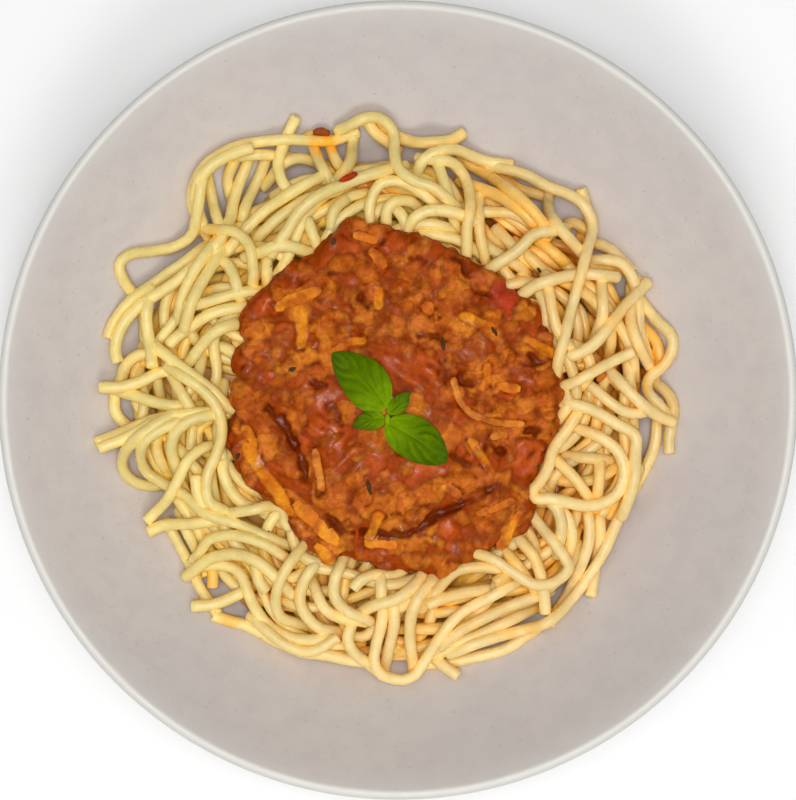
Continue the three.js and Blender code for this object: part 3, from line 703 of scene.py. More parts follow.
UPPER_STRANDS = [
    # upper left
    strand([(-1.5, 62.5), (-11, 59.5), (-20, 55.5), (-26, 51), (-30, 45), (-32.5, 41.5)]),
    strand([(-48.5, 46), (-44.5, 45.5), (-41, 43), (-39.5, 40), (-39, 34.5), (-39, 29.5)]),
    strand([(-49.5, 39), (-46, 36.5), (-44, 32.5), (-43, 28.5)]),
    # left
    strand([(-48.5, 39), (-52, 33), (-55, 27), (-56.5, 22.5)]),
    strand([(-67.5, 27), (-68, 21.5), (-67, 15), (-66, 8)], cut="end"),
    strand([(-65.5, 14.5), (-60.5, 10.5), (-54.5, 6), (-49.5, 2), (-45.5, -2)]),
    strand([(-51.5, -4.3), (-55.5, -5.3), (-59.5, -8.5), (-61, -13), (-60, -17.5)]),
    strand([(-50.5, -12.3), (-53.8, -13.6), (-57, -17), (-59.5, -22), (-62.5, -27), (-66, -30.5),
            (-68.5, -33)], cut="end"),
    strand([(-59, 7), (-53.5, 3.5), (-49.5, -0.5), (-47.5, -5.5), (-47.5, -10.5), (-49, -15),
            (-51, -19.5), (-51.5, -24), (-50.5, -27.5), (-46.5, -30)]),
    # lower left
    strand([(-55, -46), (-51, -43), (-44.5, -41.5), (-38.5, -43), (-34.5, -46), (-31, -50)]),
    strand([(-26, -40), (-29.5, -44.5), (-32, -49.5), (-33, -55), (-31.5, -59), (-28, -60.5)]),
    strand([(-22, -44), (-25, -48), (-26.5, -53.5), (-25, -58), (-21.5, -61.5), (-18, -62.5)]),
    strand([(-22.5, -51), (-20, -56), (-16, -58.5), (-11.5, -59.5)]),
    strand([(-15.5, -44.5), (-17, -48.5), (-17, -53), (-14, -56.5), (-10, -58.5)]),
    # bottom
    strand([(-1.2, -54.5), (-1, -60), (-2, -65.5), (-3, -70)]),
    strand([(-3.8, -55.5), (-4.6, -61), (-6, -66.5), (-6.4, -71), (-4.6, -74.2), (-1.6, -75.6), (2, -76),
            (5, -74.2), (7.2, -70.8), (9.8, -66.4), (13.4, -61.2), (17.8, -57), (24.5, -53.2),
            (32.5, -49)]),
    # lower right
    strand([(64.5, -22), (61.5, -29), (58, -37), (54.5, -44), (49.5, -51.5), (44.5, -57), (39.5, -60.6),
            (33, -62.8), (27, -64.2), (21, -66), (16.5, -68)]),
    strand([(18.5, -40.5), (25, -42.5), (30.5, -46), (36.5, -49.5), (42, -49), (46, -45.5), (44.5, -42),
            (40.5, -36.5), (37, -32), (35.5, -29)], cut="start"),
    strand([(49.5, -2), (46, -7.5), (42, -13), (40.3, -18.5), (37.8, -22.4), (36, -24.8), (37.2, -26.6),
            (40.4, -26.4), (44.5, -27.2), (50.5, -28.5), (56, -27.5), (60, -24), (61, -18.5), (59, -13.5),
            (54.5, -10), (49.5, -8)]),
    # right
    strand([(46.5, -1), (53, -3), (59, -6.5), (64, -9.5), (64, -15), (63.5, -22), (61.5, -29)]),
    # upper right
    strand([(65.5, 29.5), (60.5, 24.5), (56.5, 19.5), (52, 14.5), (46, 11.5)]),
    strand([(63.5, 13), (57, 10), (50.5, 6.5), (45.5, 4)], cut="start"),
    strand([(41.3, 54.6), (41.2, 50.8), (43.5, 46), (48, 41.5)]),
    # top
    strand([(-7.5, 47.5), (-7.5, 53), (-5, 58), (0, 59), (5.5, 56.5), (10, 53)]),
    strand([(9, 65), (15, 64), (18.5, 59.5), (19.5, 53), (18.5, 46), (18.5, 39.5)]),
    strand([(-13, 74.5), (-7.5, 76.5), (-3.5, 75.5), (-1, 72), (-1, 67.5), (0, 62.5), (4, 59), (9.5, 57),
            (14, 53.5)]),
    # the one that lies over all others
    strand([(28, 63.5), (35, 61.5), (40.5, 58.5), (46.5, 56), (50.5, 53), (53, 47.5), (51, 40.5),
            (49, 33), (47, 25.5), (45, 18), (43, 10.5), (43, 5), (46, -0.5)]),
]


# ---- Spaghetti: laying the strands -----------------------------------------------------------

# The core ends this far inside the heap's outline, and its top is this far below the heap's.
CORE_INSET = 3.0
CORE_DEPTH = 6.4
# How high it is at its edge, and how far its underside stays above the bowl.
CORE_EDGE = 1.0
CORE_GAP = 0.3
# Strands are laid below until what lies there is nearer than this to the heap's top.
HIDDEN_DEPTH = 1.7
# How far strands press into each other where they cross.
STRAND_SINK = 0.5


def heap_top(radius):
    return np.interp(radius, *zip(*HEAP_TOP))


def core_reach(angle):
    return heap_reach(angle) - CORE_INSET


def core_top(radius, angle):
    edge = core_reach(angle)
    drop = bowl_inside(edge) + CORE_EDGE - (heap_top(edge) - CORE_DEPTH)
    return heap_top(radius) - CORE_DEPTH + drop * np.minimum(1, radius / edge) ** 4


class HeightGrid:
    """Heights of all that lies in the bowl so far, over a square grid."""

    CELL = 0.5
    HALF = 190

    def __init__(self):
        middles = (np.arange(2 * self.HALF) + 0.5 - self.HALF) * self.CELL
        x, y = np.meshgrid(middles, middles)
        radius, angle = np.hypot(x, y), np.arctan2(y, x)
        heights = bowl_inside(radius)
        inside = radius < core_reach(angle)
        heights[inside] = np.maximum(heights, core_top(radius, angle))[inside]
        self.heights = heights.ravel()

    def near(self, points, reach):
        """Cells within `reach` of each point: their numbers, and how high a ball bulges over them."""
        span = math.ceil(reach / self.CELL)
        offsets = np.arange(-span, span + 1)
        index = np.floor(points / self.CELL + self.HALF).astype(int)
        column = index[:, 0, None, None] + offsets[None, None, :]
        row = index[:, 1, None, None] + offsets[None, :, None]
        away_x = (column + 0.5 - self.HALF) * self.CELL - points[:, 0, None, None]
        away_y = (row + 0.5 - self.HALF) * self.CELL - points[:, 1, None, None]
        square = reach ** 2 - away_x ** 2 - away_y ** 2
        bulge = np.where(square > 0, np.sqrt(np.maximum(square, 0)), -np.inf)
        return self.number(row, column).reshape(len(points), -1), bulge.reshape(len(points), -1)

    def number(self, row, column):
        last = 2 * self.HALF - 1
        return np.clip(row, 0, last) * 2 * self.HALF + np.clip(column, 0, last)

    def at(self, points):
        column, row = np.floor(points / self.CELL + self.HALF).astype(int).T
        return self.heights[self.number(row, column)]

    def rest(self, points, radius):
        """How high the middle of a strand lies at each point."""
        cells, bulge = self.near(points, radius)
        return np.max(self.heights[cells] + bulge, axis=1) - STRAND_SINK

    def cover(self, points, heights, radius):
        cells, bulge = self.near(points, radius)
        np.maximum.at(self.heights, cells, heights[:, None] + bulge)

    def smoothed(self, passes):
        """A grid of the mean heights round each place."""
        square = self.heights.reshape(2 * self.HALF, -1)
        for _ in range(passes):
            for axis in (0, 1):
                square = (square + np.roll(square, 1, axis) + np.roll(square, -1, axis)) / 3
        wide = HeightGrid()
        wide.heights = square.ravel()
        return wide


LAY_STEP = 1.0
BOWL_GAP = 0.05
SETTLE_PASSES = 45
LAST_PASSES = 6
# Above this height the soft strands press each other down to this share of what is over it.
HEAP_LIMIT = 36.0
LIMIT_SHARE = 0.4
# A strand that goes out of sight runs on, and dives from a little before where it is last seen.
UNDER_SAUCE_LENGTH = 7.0
UNDER_STRANDS_LENGTH = 4.0
DIVE_AHEAD = 2.8
DIVE_DEPTH = 5.2
NEAR_SAUCE = 4.0
# The sauce presses strands down to this height at its outline, for this far before it.
PRESSED_HEIGHT = 31.4
PRESSED_LENGTH = 9.0
# How steeply that height rises outside the outline, and falls inside it.
CEILING_RISE = 0.9
CEILING_FALL = 0.4


def polar(points):
    return np.hypot(points[..., 0], points[..., 1]), np.arctan2(points[..., 1], points[..., 0])


def ceiling(points):
    """How high the middle of a strand may be that goes under the sauce."""
    radius, angle = polar(points)
    away = radius - sauce_reach(angle)
    return PRESSED_HEIGHT + np.where(away > 0, CEILING_RISE, CEILING_FALL) * away


def run_on(points, at_start):
    """Carries a hidden end on, under the sauce or under its neighbours, and says how long it dives, and
    over what length the sauce presses it down."""
    points = [np.array(point, float) for point in points[::-1 if at_start else 1]]
    end = points[-1]
    direction = unit(end - points[-2])
    radius, angle = polar(end)
    length, pressed = UNDER_STRANDS_LENGTH, 0
    if radius < sauce_reach(angle) + NEAR_SAUCE:
        length = UNDER_SAUCE_LENGTH
        pressed = UNDER_SAUCE_LENGTH + PRESSED_LENGTH
        direction = unit(direction - end / radius)
    points.append(end + direction * length)
    return points[::-1 if at_start else 1], (length + DIVE_AHEAD, pressed)


def lay(grid, points, radius, ends, everywhere=False):
    """Rests a strand on the bowl and on what is there, gives its middle line and adds it to the grid.
    ends has what run_on says of its start and its end; everywhere keeps all of it under the sauce."""
    route = smooth_route(points, LAY_STEP)
    from_axis = np.hypot(*route.T)
    on_bowl = bowl_inside(from_axis) + (radius + BOWL_GAP) / np.cos(bowl_slope(from_axis))
    travelled = np.arange(len(route)) * LAY_STEP
    dive = np.zeros(len(route))
    pressed = np.full(len(route), everywhere)
    for from_end, (length, pressed_length) in zip((travelled, travelled[::-1]), ends):
        if length:
            dive = np.maximum(dive, 1 - from_end / length)
        pressed |= from_end < pressed_length
    free = dive <= max(0, dive.min())
    rest = np.maximum(grid.rest(route, radius), on_bowl)
    heights = np.interp(travelled, travelled[free], rest[free])
    least = np.where(free, rest, on_bowl)
    for _ in range(SETTLE_PASSES):
        heights = np.maximum(least, evened(heights))
    heights = heights - DIVE_DEPTH * np.maximum(dive, 0) ** 1.5
    heights = np.where(pressed, np.minimum(heights, ceiling(route)), heights)
    heights = np.minimum(heights, HEAP_LIMIT + LIMIT_SHARE * (heights - HEAP_LIMIT))
    for _ in range(LAST_PASSES):
        heights = np.maximum(evened(heights), on_bowl)
    grid.cover(route, heights, radius)
    return np.column_stack([route, heights])


def evened(heights):
    padded = np.concatenate([heights[:1], heights, heights[-1:]])
    return (padded[:-2] + 2 * heights + padded[2:]) / 4


# How far a cut end bulges, and its radius as a share of the strand's.
CUT_ROUNDING = 0.25
CUT_SHARE = 0.8
STRAND_UNEVENNESS = 0.045


def add_tube(shape, line, radius, step, tone_at, sides, seed):
    """A strand round its middle line, with flat cut ends whose edges are a little rounded."""
    middle = smooth_route(line[::2] if len(line) > 12 else line, step)
    tangent = unit(np.gradient(middle, axis=0))
    side = unit(np.cross(tangent, (0, 0, 1)))
    upward = np.cross(side, tangent)
    girth = radius * (1 + STRAND_UNEVENNESS * noise(middle, 7, seed))
    # One more ring at each end, a little narrower and just beyond the last.
    middle = np.pad(middle, ((1, 1), (0, 0)), mode="edge")
    middle[0] -= tangent[0] * CUT_ROUNDING
    middle[-1] += tangent[-1] * CUT_ROUNDING
    side, upward = (np.pad(some, ((1, 1), (0, 0)), mode="edge") for some in (side, upward))
    girth = np.pad(girth, 1, constant_values=CUT_SHARE * radius)
    angles = np.linspace(0, TURN, sides, endpoint=False)
    around = side[:, None] * np.cos(angles)[:, None] + upward[:, None] * np.sin(angles)[:, None]
    rings = middle[:, None] + around * girth[:, None, None]
    vertices = np.vstack([rings.reshape(-1, 3), middle[:1], middle[-1:]])
    up = np.concatenate([np.tile(np.sin(angles), len(middle)), (0, 0)])
    shape.add(vertices, turned_over(ring_faces(len(middle), sides)), tone_at(vertices, up))


PASTA_LEMON = srgb(222, 201, 128)
PASTA_WARM = srgb(225, 198, 136)
# Painted shade: a strand's sides and underside turn this darker golden.
PASTA_SIDE_SHADE = srgb(250, 206, 86)
# Painted shade: pasta deep down between other strands turns this ochre.
PASTA_GAP_SHADE = srgb(255, 212, 86)
# Painted shade: deeper still, where sauce has soaked in, pasta turns this darker orange.
PASTA_DEEP_SHADE = srgb(240, 160, 48)
PASTA_COATED = srgb(238, 172, 36)
# Partly sauce and partly painted shade: the deepest pasta where sauce has run down.
PASTA_SAUCE_IN_SHADE = srgb(180, 86, 20)
# The core shows only deep in the gaps, so it has the darker ochre of painted shade rather than the pasta's
# own lemon.
CORE_SHADE_TONE = srgb(238, 178, 84)
# Places where sauce has stained the pasta: (x, y, reach, how much).
STAINS = [(-20, 70, 6, 1.0), (-50, 45, 3, 0.5), (-37, 31, 4, 0.5), (-46, -60, 4, 0.7), (71, 9.5, 3, 0.6),
          (-16, 62, 4, 0.4), (30, 52, 9, 0.35), (8, -62, 6, 0.35), (60, 20, 6, 0.35), (66, 4, 4, 0.5),
          (20, -60, 5, 0.3), (37, -63, 5, 0.3), (46, 8, 5, 0.3), (52, 10, 3, 0.4)]
# Places where sauce has run down between the strands, as stains but only deep down, where the pasta deep
# between others is also painted darker as shade.
SAUCE_AND_SHADE_PLACES = [(-36, -57, 11, 0.9), (28, 52, 15, 0.9), (62, 8, 18, 0.7), (46, -20, 12, 0.7), (14, -60, 14, 0.6),
          (52, -40, 14, 0.5), (45, 35, 12, 0.6), (-8, 60, 12, 0.35)]


def near_places(x, y, places):
    """The strongest of the places that reach here."""
    amount = np.zeros(np.shape(x))
    for at_x, at_y, reach, most in places:
        away = np.hypot(x - at_x, y - at_y)
        amount = np.maximum(amount, most * (1 - smooth_step(0.3 * reach, reach, away)))
    return amount


def pasta_tone(points, up, crowd, strand_tint, sauce, seed):
    """Colour of pasta: lemon at the left, warmer at the right, golden at a strand's sides and underside as
    painted shade, ochre deep down between others as painted shade, darker orange and sauce-brown deeper
    still where sauce has run down, partly sauce and partly painted shade, and orange where sauce coats it.
    crowd is a grid of mean heights."""
    x, y, z = points.T
    radius, angle = polar(points)
    warm = smooth_step(-45, 35, x - 0.45 * y)
    tone = mix(PASTA_LEMON, PASTA_WARM, warm)
    # painted shade on the sides and underside of each strand
    tone = mix(tone, PASTA_SIDE_SHADE, 0.65 * smooth_step(0.9, -0.5, up))
    depth = crowd.at(points[:, :2]) - z
    # painted shade: the further below the mean height round it, the more ochre
    tone = mix(tone, PASTA_GAP_SHADE, 0.7 * smooth_step(0.6, 3.4, depth))
    sauce_and_shade = np.clip(0.3 * warm + near_places(x, y, SAUCE_AND_SHADE_PLACES) + 0.3 * noise(points, 8, 9), 0, 1)
    # painted shade: darker orange deep between strands where sauce has soaked in
    tone = mix(tone, PASTA_DEEP_SHADE, sauce_and_shade * smooth_step(1.2, 4.5, depth))
    # sauce's colour in the deepest gaps, partly a stain and partly painted shade
    tone = mix(tone, PASTA_SAUCE_IN_SHADE, 0.9 * sauce_and_shade * smooth_step(2.4, 4.6, depth))
    beside_sauce = 1 - smooth_step(0, 5, radius - sauce_reach(angle))
    blotch = smooth_step(0.1, 0.8, noise(points, 9, seed + 3)) * (0.15 + 0.35 * warm)
    coat = np.maximum(sauce * (0.75 + 0.25 * noise(points, 3, seed)), 0.3 * beside_sauce)
    coat = np.maximum(coat, blotch * 0.6)
    patchy = 0.85 + 0.4 * noise(points, 2.5, 8)
    coat = np.maximum(coat, near_places(x, y, STAINS) * patchy)
    tone = mix(tone, PASTA_COATED, np.clip(coat, 0, 1))
    return tone * (1 + 0.04 * strand_tint)


# How far the strands below may reach under the sauce, and how far they stay inside the heap's edge.
HIDDEN_INNER = 6
HIDDEN_OUTER = 1


def hidden_route(rng):
    """A plan route for one of the many strands below: an arc round the heap, or an out-and-back loop."""
    start = rng.uniform(0, TURN)
    part = np.linspace(0, 1, 9)
    if rng.random() < 0.6:
        angle = start + rng.choice([-1, 1]) * rng.uniform(0.5, 1.3) * part
        share = rng.uniform(0.1, 1) + rng.uniform(-0.6, 0.6) * (part - 0.5)
        share += 0.1 * np.sin(TURN * part + start)
    else:
        angle = start + rng.uniform(0.15, 0.4) * np.cos(math.pi * part) + rng.uniform(-0.2, 0.2) * part
        share = rng.uniform(0.5, 1) * np.sin(math.pi * part) ** 0.8
    inner = sauce_reach(angle) - HIDDEN_INNER
    outer = heap_reach(angle) - HIDDEN_OUTER
    radius = inner + (outer - inner) * np.clip(share, 0, 1)
    return np.column_stack([radius * np.cos(angle), radius * np.sin(angle)])


SEED = 4
HIDDEN_COUNT = 400
HIDDEN_TRIES = 12
CROWD_PASSES = 24
CORE_SEGMENTS = 96
CORE_RINGS = 12


def make_core(material):
    """The body below the strands, as rings out along its top and back along its underside."""
    angles = np.linspace(0, TURN, CORE_SEGMENTS, endpoint=False)
    radius = np.linspace(0, 1, CORE_RINGS + 1)[1:, None] * core_reach(angles)
    x, y = radius * np.cos(angles), radius * np.sin(angles)
    above = np.stack([x, y, core_top(radius, angles) + 0.5 * flat_noise(x, y, 5)], axis=2)
    below = np.stack([x, y, bowl_inside(radius) + CORE_GAP], axis=2)
    rings = np.vstack([above, below[::-1]])
    ends = [(0, 0, core_top(0.0, 0.0)), (0, 0, FLOOR_HEIGHT + CORE_GAP)]
    core = Shape()
    core.add(np.vstack([rings.reshape(-1, 3), ends]), turned_over(ring_faces(len(rings), CORE_SEGMENTS)),
             CORE_SHADE_TONE)
    add_piece("spaghetti_core", core, material, "spaghetti")


def lay_hidden(grid, rng):
    """The many strands below: of some routes, each takes the one along which most room is left."""
    laid = []
    end = (UNDER_STRANDS_LENGTH + DIVE_AHEAD, 0)
    for _ in range(HIDDEN_COUNT):
        routes = [hidden_route(rng) for _ in range(HIDDEN_TRIES)]
        fill = []
        for route in routes:
            fine = smooth_route(route, 2)
            fill.append(np.mean(grid.at(fine) - heap_top(np.hypot(*fine.T))) + HIDDEN_DEPTH)
        girth = STRAND_RADIUS * rng.uniform(0.95, 1.05)
        tint, sauced = rng.normal(), rng.uniform(0, 0.6)
        if min(fill) > 0:
            continue
        line = lay(grid, routes[int(np.argmin(fill))], girth, (end, end), True)
        middle = line[len(line) // 2]
        laid.append((line, girth, tint, sauced * smooth_step(-40, 40, middle[0] - 0.3 * middle[1])))
    return laid


def lay_shown(grid, rng):
    laid = []
    for one in LOWER_STRANDS + MIDDLE_STRANDS + UPPER_STRANDS:
        points, ends = one["points"], [(0, 0), (0, 0)]
        if one["cut"] != "start":
            points, ends[0] = run_on(points, True)
        if one["cut"] != "end":
            points, ends[1] = run_on(points, False)
        girth = STRAND_RADIUS * rng.uniform(0.96, 1.06)
        laid.append((lay(grid, points, girth, ends), girth, rng.normal(), one["sauce"]))
    return laid


def add_strands(name, strands, crowd, material, step, sides):
    shape = Shape()
    for seed, (line, girth, tint, sauced) in enumerate(strands):
        def tone_at(points, up):
            return pasta_tone(points, up, crowd, tint, sauced, seed)
        add_tube(shape, line, girth, step, tone_at, sides, seed)
    add_piece(name, shape, material, "spaghetti")


def make_spaghetti():
    """Lays every strand, then gives each its colour, which depends on what lies round it."""
    rng = np.random.default_rng(SEED)
    grid = HeightGrid()
    material = pasta_material()
    make_core(material)
    hidden = lay_hidden(grid, rng)
    shown = lay_shown(grid, rng)
    crowd = grid.smoothed(CROWD_PASSES)
    add_strands("spaghetti_below", hidden, crowd, material, step=1.7, sides=8)
    add_strands("spaghetti_on_top", shown, crowd, material, step=1.1, sides=12)
    return grid


# ---- Meat sauce ------------------------------------------------------------------------------

SAUCE_RADIUS = 45
SAUCE_EDGE_HEIGHT = 35.2
SAUCE_MIDDLE_HEIGHT = 38.2
SAUCE_FALL_POWER = 2.6
SAUCE_DEPTH = 6.0
SAUCE_CELLS = 294
# Passes of blurring that tell a lump from its surroundings, and a crease from its rims.
WIDE_BLUR = 110
NARROW_BLUR = 10
# Rings of the sauce's underside, as shares of its edge's distance from the bowl's axis.
SAUCE_UNDERSIDE = (0.93, 0.75, 0.4)
EDGE_ROUNDING = 3.0
EDGE_SHARE = 0.1
EDGE_WRAP = math.radians(112)

# Where the sauce is smooth, with tomato in it: (x, y, reach, how much).
SMOOTH_PLACES = [
    (4.5, 9.5, 10, 1), (-7, -14, 7, 1), (2.5, -20, 6, 1), (-32.5, -16, 6, 1), (34.5, -14.5, 7, 1),
    (11, -36, 7, 1), (28, 26.5, 7, 1), (-30, 17, 5, 1), (-33, 10.5, 7, 1), (-21.5, -3, 6, 1),
    (-29.5, 33.5, 5, 1), (12, 41, 5, 1), (19, -13, 6, 0.7), (-16, -10, 5, 1), (22, 14, 6, 0.7),
    (-38, 25, 5, 1), (-25, -35, 5, 0.8), (-2, 42, 5, 0.8),
]
# Where crumbs of mince lie close together.
MINCE_PLACES = [
    (-18, 32, 5, 1), (-11, 35, 6, 1), (-6, 21.5, 8, 1), (-19, 19, 6, 1), (4, 30, 6, 1),
    (16.5, 29, 7, 1), (30.5, 15, 7, 1), (24, 8, 6, 1), (37, -5, 8, 1), (11.5, -24, 6, 1),
    (4, -41.5, 6, 1), (-14.5, -28, 8, 1), (-34, -8.5, 6, 1), (-26, -4.5, 5, 1), (-39, -3, 6, 1),
    (-40, 16, 5, 1), (-1, -31, 5, 1), (25, -24, 6, 0.8), (-20, 9, 5, 1), (22, 36, 5, 1), (41, 6, 5, 1),
    (-31, 28, 4, 0.8),
]
# Furrows and pits where dark sauce stands, painted darker still as shade: route, half width, depth.
FURROWS = [
    ([(-34.5, -1.5), (-32, -5), (-29.5, -8), (-28, -11.5), (-25.5, -16.2), (-24.4, -19.5)], 1.3, 1.6),
    ([(-8.5, -35.6), (-1, -36), (5, -34.4), (11, -30.5), (17, -27.5)], 1.6, 1.8),
    ([(-19.5, -31), (-16.5, -33.5), (-13, -35.5)], 1.6, 1.4),
    ([(19, -27), (27, -22.8)], 2.0, 1.1),
    ([(14, -15), (17.4, -17)], 1.8, 1.1),
    ([(16, 6.5), (19.5, 4.5)], 1.9, 1.5),
    ([(34, 11.5), (38, 9.4)], 1.7, 1.2),
    ([(15.8, 37), (19, 33.5)], 1.7, 1.4),
    ([(-9.5, 28), (-8, 26)], 1.7, 1.2),
    ([(-23, 5.5), (-20, 4)], 1.4, 1.2),
    ([(-18, -1), (-15, -6.5)], 1.7, 1.1),
    ([(35, -8.2), (38, -8.5)], 1.5, 1.2),
    ([(24, -12), (27, -14.5)], 1.6, 1.2),
    ([(-30.5, 33), (-27, 31)], 1.6, 1.1),
    ([(6, 17), (12, 16.5)], 1.3, 1.0),
    ([(12.5, 10), (13.2, 5)], 1.3, 1.0),
    ([(4, 38.5), (10, 36)], 1.4, 1.1),
    ([(21, 31), (25, 28)], 1.4, 1.0),
    ([(-3, -2), (2, -11), (1, -14)], 1.3, 0.9),
]

SAUCE_BASE = srgb(150, 58, 4)
SAUCE_DARK = srgb(98, 28, 0)
SAUCE_RED = srgb(178, 71, 20)
SAUCE_PINK = srgb(190, 91, 39)
# Painted highlight: the tone that the tops of lumps are lightened towards.
SAUCE_TOP_HIGHLIGHT = srgb(214, 122, 32)
MINCE_TONES = np.array([srgb(188, 103, 28), srgb(166, 80, 16), srgb(200, 118, 34), srgb(154, 68, 10),
                        srgb(187, 97, 40)])
# A chunk of tomato at the sauce's edge: (x, y, reach).
TOMATO = (27.9, 26.9, 4.8)
TOMATO_TONE = srgb(178, 56, 30)


def sauce_edge(angle):
    """The sauce's outline with its small lobes."""
    x, y = SAUCE_RADIUS * np.cos(angle), SAUCE_RADIUS * np.sin(angle)
    return sauce_reach(angle) + 1.3 * flat_noise(x, y, 5, 11) + 0.8 * flat_noise(x, y, 2.4, 12)


def sauce_top(x, y):
    """Height of the sauce before its crumbs."""
    radius, angle = np.hypot(x, y), np.arctan2(y, x)
    part = np.minimum(1.05, radius / sauce_reach(angle))
    height = SAUCE_MIDDLE_HEIGHT + (SAUCE_EDGE_HEIGHT - SAUCE_MIDDLE_HEIGHT) * part ** SAUCE_FALL_POWER
    return height + 0.9 * flat_noise(x, y, 14, 2) + 0.5 * flat_noise(x, y, 6, 3)


def furrow_depth(points):
    x, y = (points[:, :2] + 1.1 * strayed(points, 3.4, 21) + 0.5 * strayed(points, 1.3, 23)).T
    depth = np.zeros(len(points))
    for route, reach, most in FURROWS:
        depth = np.maximum(depth, most * np.exp(-(route_distance(x, y, route) / reach) ** 2))
    return depth * (0.85 + 0.35 * noise(points, 3.2, 25))


def turned(points, angle):
    cos, sin = math.cos(angle), math.sin(angle)
    return points @ np.array([[cos, sin, 0], [-sin, cos, 0], [0, 0, 1]])


def ball():
    """Vertices and triangles of a ball of radius 1."""
    work = bmesh.new()
    bmesh.ops.create_icosphere(work, subdivisions=3, radius=1)
    vertices = np.array([v.co[:] for v in work.verts])
    faces = np.array([[v.index for v in f.verts] for f in work.faces])
    work.free()
    return vertices, faces


def blurred(square, passes):
    """A grid of heights, averaged with its neighbours some times."""
    for _ in range(passes):
        wide = np.pad(square, 1, mode="edge")
        beside = wide[:-2, 1:-1] + wide[2:, 1:-1] + wide[1:-1, :-2] + wide[1:-1, 2:]
        square = (beside + 2 * square) / 6
    return square


def sauce_skin():
    """The sauce's smooth skin from its middle to just round its edge, as a square grid of points that is
    bent into a disc, and the direction outward at each."""
    side = np.linspace(-1, 1, SAUCE_CELLS + 1)
    first, second = np.meshgrid(side, side)
    x, y = first * np.sqrt(1 - second ** 2 / 2), second * np.sqrt(1 - first ** 2 / 2)
    share, angle = np.hypot(x, y), np.arctan2(y, x)
    wrap = EDGE_WRAP * np.clip((share - 1 + EDGE_SHARE) / EDGE_SHARE, 0, 1)
    flat = np.minimum(share / (1 - EDGE_SHARE), 1)
    radius = (sauce_edge(angle) - EDGE_ROUNDING) * flat + EDGE_ROUNDING * np.sin(wrap)
    x, y = radius * np.cos(angle), radius * np.sin(angle)
    z = sauce_top(x, y) - EDGE_ROUNDING * (1 - np.cos(wrap))
    points = np.stack([x, y, z], axis=2)
    outward = np.cross(np.gradient(points, axis=1), np.gradient(points, axis=0))
    outward /= np.linalg.norm(outward, axis=2, keepdims=True) + 1e-9
    return points.reshape(-1, 3), outward.reshape(-1, 3)


def beside_shreds(points):
    """How near each point is to the middle of a shred, in half widths, and how covered that shred is."""
    nearest, covered = np.full(len(points), 9.0), np.zeros(len(points))
    for route, width, cover in CARROT_SHREDS + ONION_SHREDS:
        away = route_distance(points[:, 0], points[:, 1], route) / (width / 2)
        covered = np.where(away < nearest, cover, covered)
        nearest = np.minimum(nearest, away)
    return nearest, covered


def fibres(points):
    """Noise that is drawn out lengthways, in directions that change from place to place."""
    turn = 0.5 + 0.5 * noise(points, 9, 71)
    first = noise(turned(points, 0.6) * (0.3, 1, 1), 1.3, 72)
    second = noise(turned(points, 2.3) * (0.3, 1, 1), 1.3, 73)
    return mix_values(first, second, smooth_step(0.35, 0.65, turn))


def leaf_disc(leaf):
    """A disc, as (x, y, reach, how much), where a leaf lies on the sauce."""
    half = leaf["length"] / 2
    middle = np.array([[leaf["start"] + half, leaf["aside"] + leaf["bow"], 0]])
    x, y, _ = turned(middle, math.radians(leaf["turn"]))[0] + SPRIG
    return x, y, half + LEAF_MARGIN, 1


def sauce_relief(points):
    """How far crumbs, shreds and tomato stand out of the smooth skin, and what the colours need of that:
    furrow is how deep a furrow is, proud how far a crumb is above the liquid between the crumbs, chunk
    and sunk where the tomato and the covered shreds are."""
    wander = 1.5 * strayed(points, 4, 61) + 0.7 * strayed(points, 1.6, 63)
    at_x, at_y = (points[:, :2] + wander).T
    smooth = near_places(at_x, at_y, SMOOTH_PLACES)
    crumbly = 0.55 + 0.6 * noise(points, 7, 5) - smooth + 0.8 * near_places(at_x, at_y, MINCE_PLACES)
    crumbly = smooth_step(0, 1, crumbly)
    coarse, label = mounds(points, 4.6, 0.6, 31)
    small, small_label = mounds(points, 2.5, 0.55, 35)
    fine, _ = mounds(points, 1.4, 0.5, 39)
    furrow = furrow_depth(points)
    streaks = fibres(points)
    lumps = 1.4 * coarse + (0.35 + 0.65 * coarse) * (0.9 * small + 0.4 * fine)
    liquid = 1.45 - 1.1 * crumbly + 0.6 * noise(points, 4.5, 41)
    liquid += 0.5 * streaks + 0.2 * noise(points, 2, 46)
    proud = lumps - liquid
    relief = liquid + 0.5 * (proud + np.sqrt(proud ** 2 + 0.03)) + 0.5 * noise(points, 9, 43)
    relief += 0.09 * noise(points, 0.9, 57)
    x, y, reach = TOMATO
    chunk = 1 - smooth_step(0.55, 1.05, np.hypot(at_x - x, at_y - y) / reach)
    relief = mix_values(relief, 1.5 + 0.15 * noise(points, 3, 47), chunk)
    relief = relief * (1 - 0.35 * smooth_step(0.4, 1.4, furrow)) - furrow
    press = near_places(points[:, 0], points[:, 1], [leaf_disc(leaf) for leaf in LEAVES])
    relief = mix_values(relief, np.minimum(relief, CRUMBS_BELOW_LEAF), press)
    away, covered = beside_shreds(points + np.pad(0.3 * wander, ((0, 0), (0, 1))))
    lap = covered - 0.35 + 0.45 * noise(points, 1.6, 51) + 0.2 * noise(points, 0.8, 52)
    lap -= 0.35 * (1 - covered) * smooth_step(0.95, 0.3, away)
    relief = mix_values(relief, SHRED_RISE + lap, 1 - smooth_step(0.8, 2.0, away))
    sunk = (covered > SUNK) * (1 - smooth_step(0.65, 1.15, away))
    labels = [(one * (len(MINCE_TONES) - 0.01)).astype(int) for one in (label, small_label)]
    return relief + 0.45 * sunk, dict(smooth=smooth, crumbly=crumbly, labels=labels, streaks=streaks,
                                      furrow=furrow, proud=proud, chunk=chunk, covered=covered, sunk=sunk)


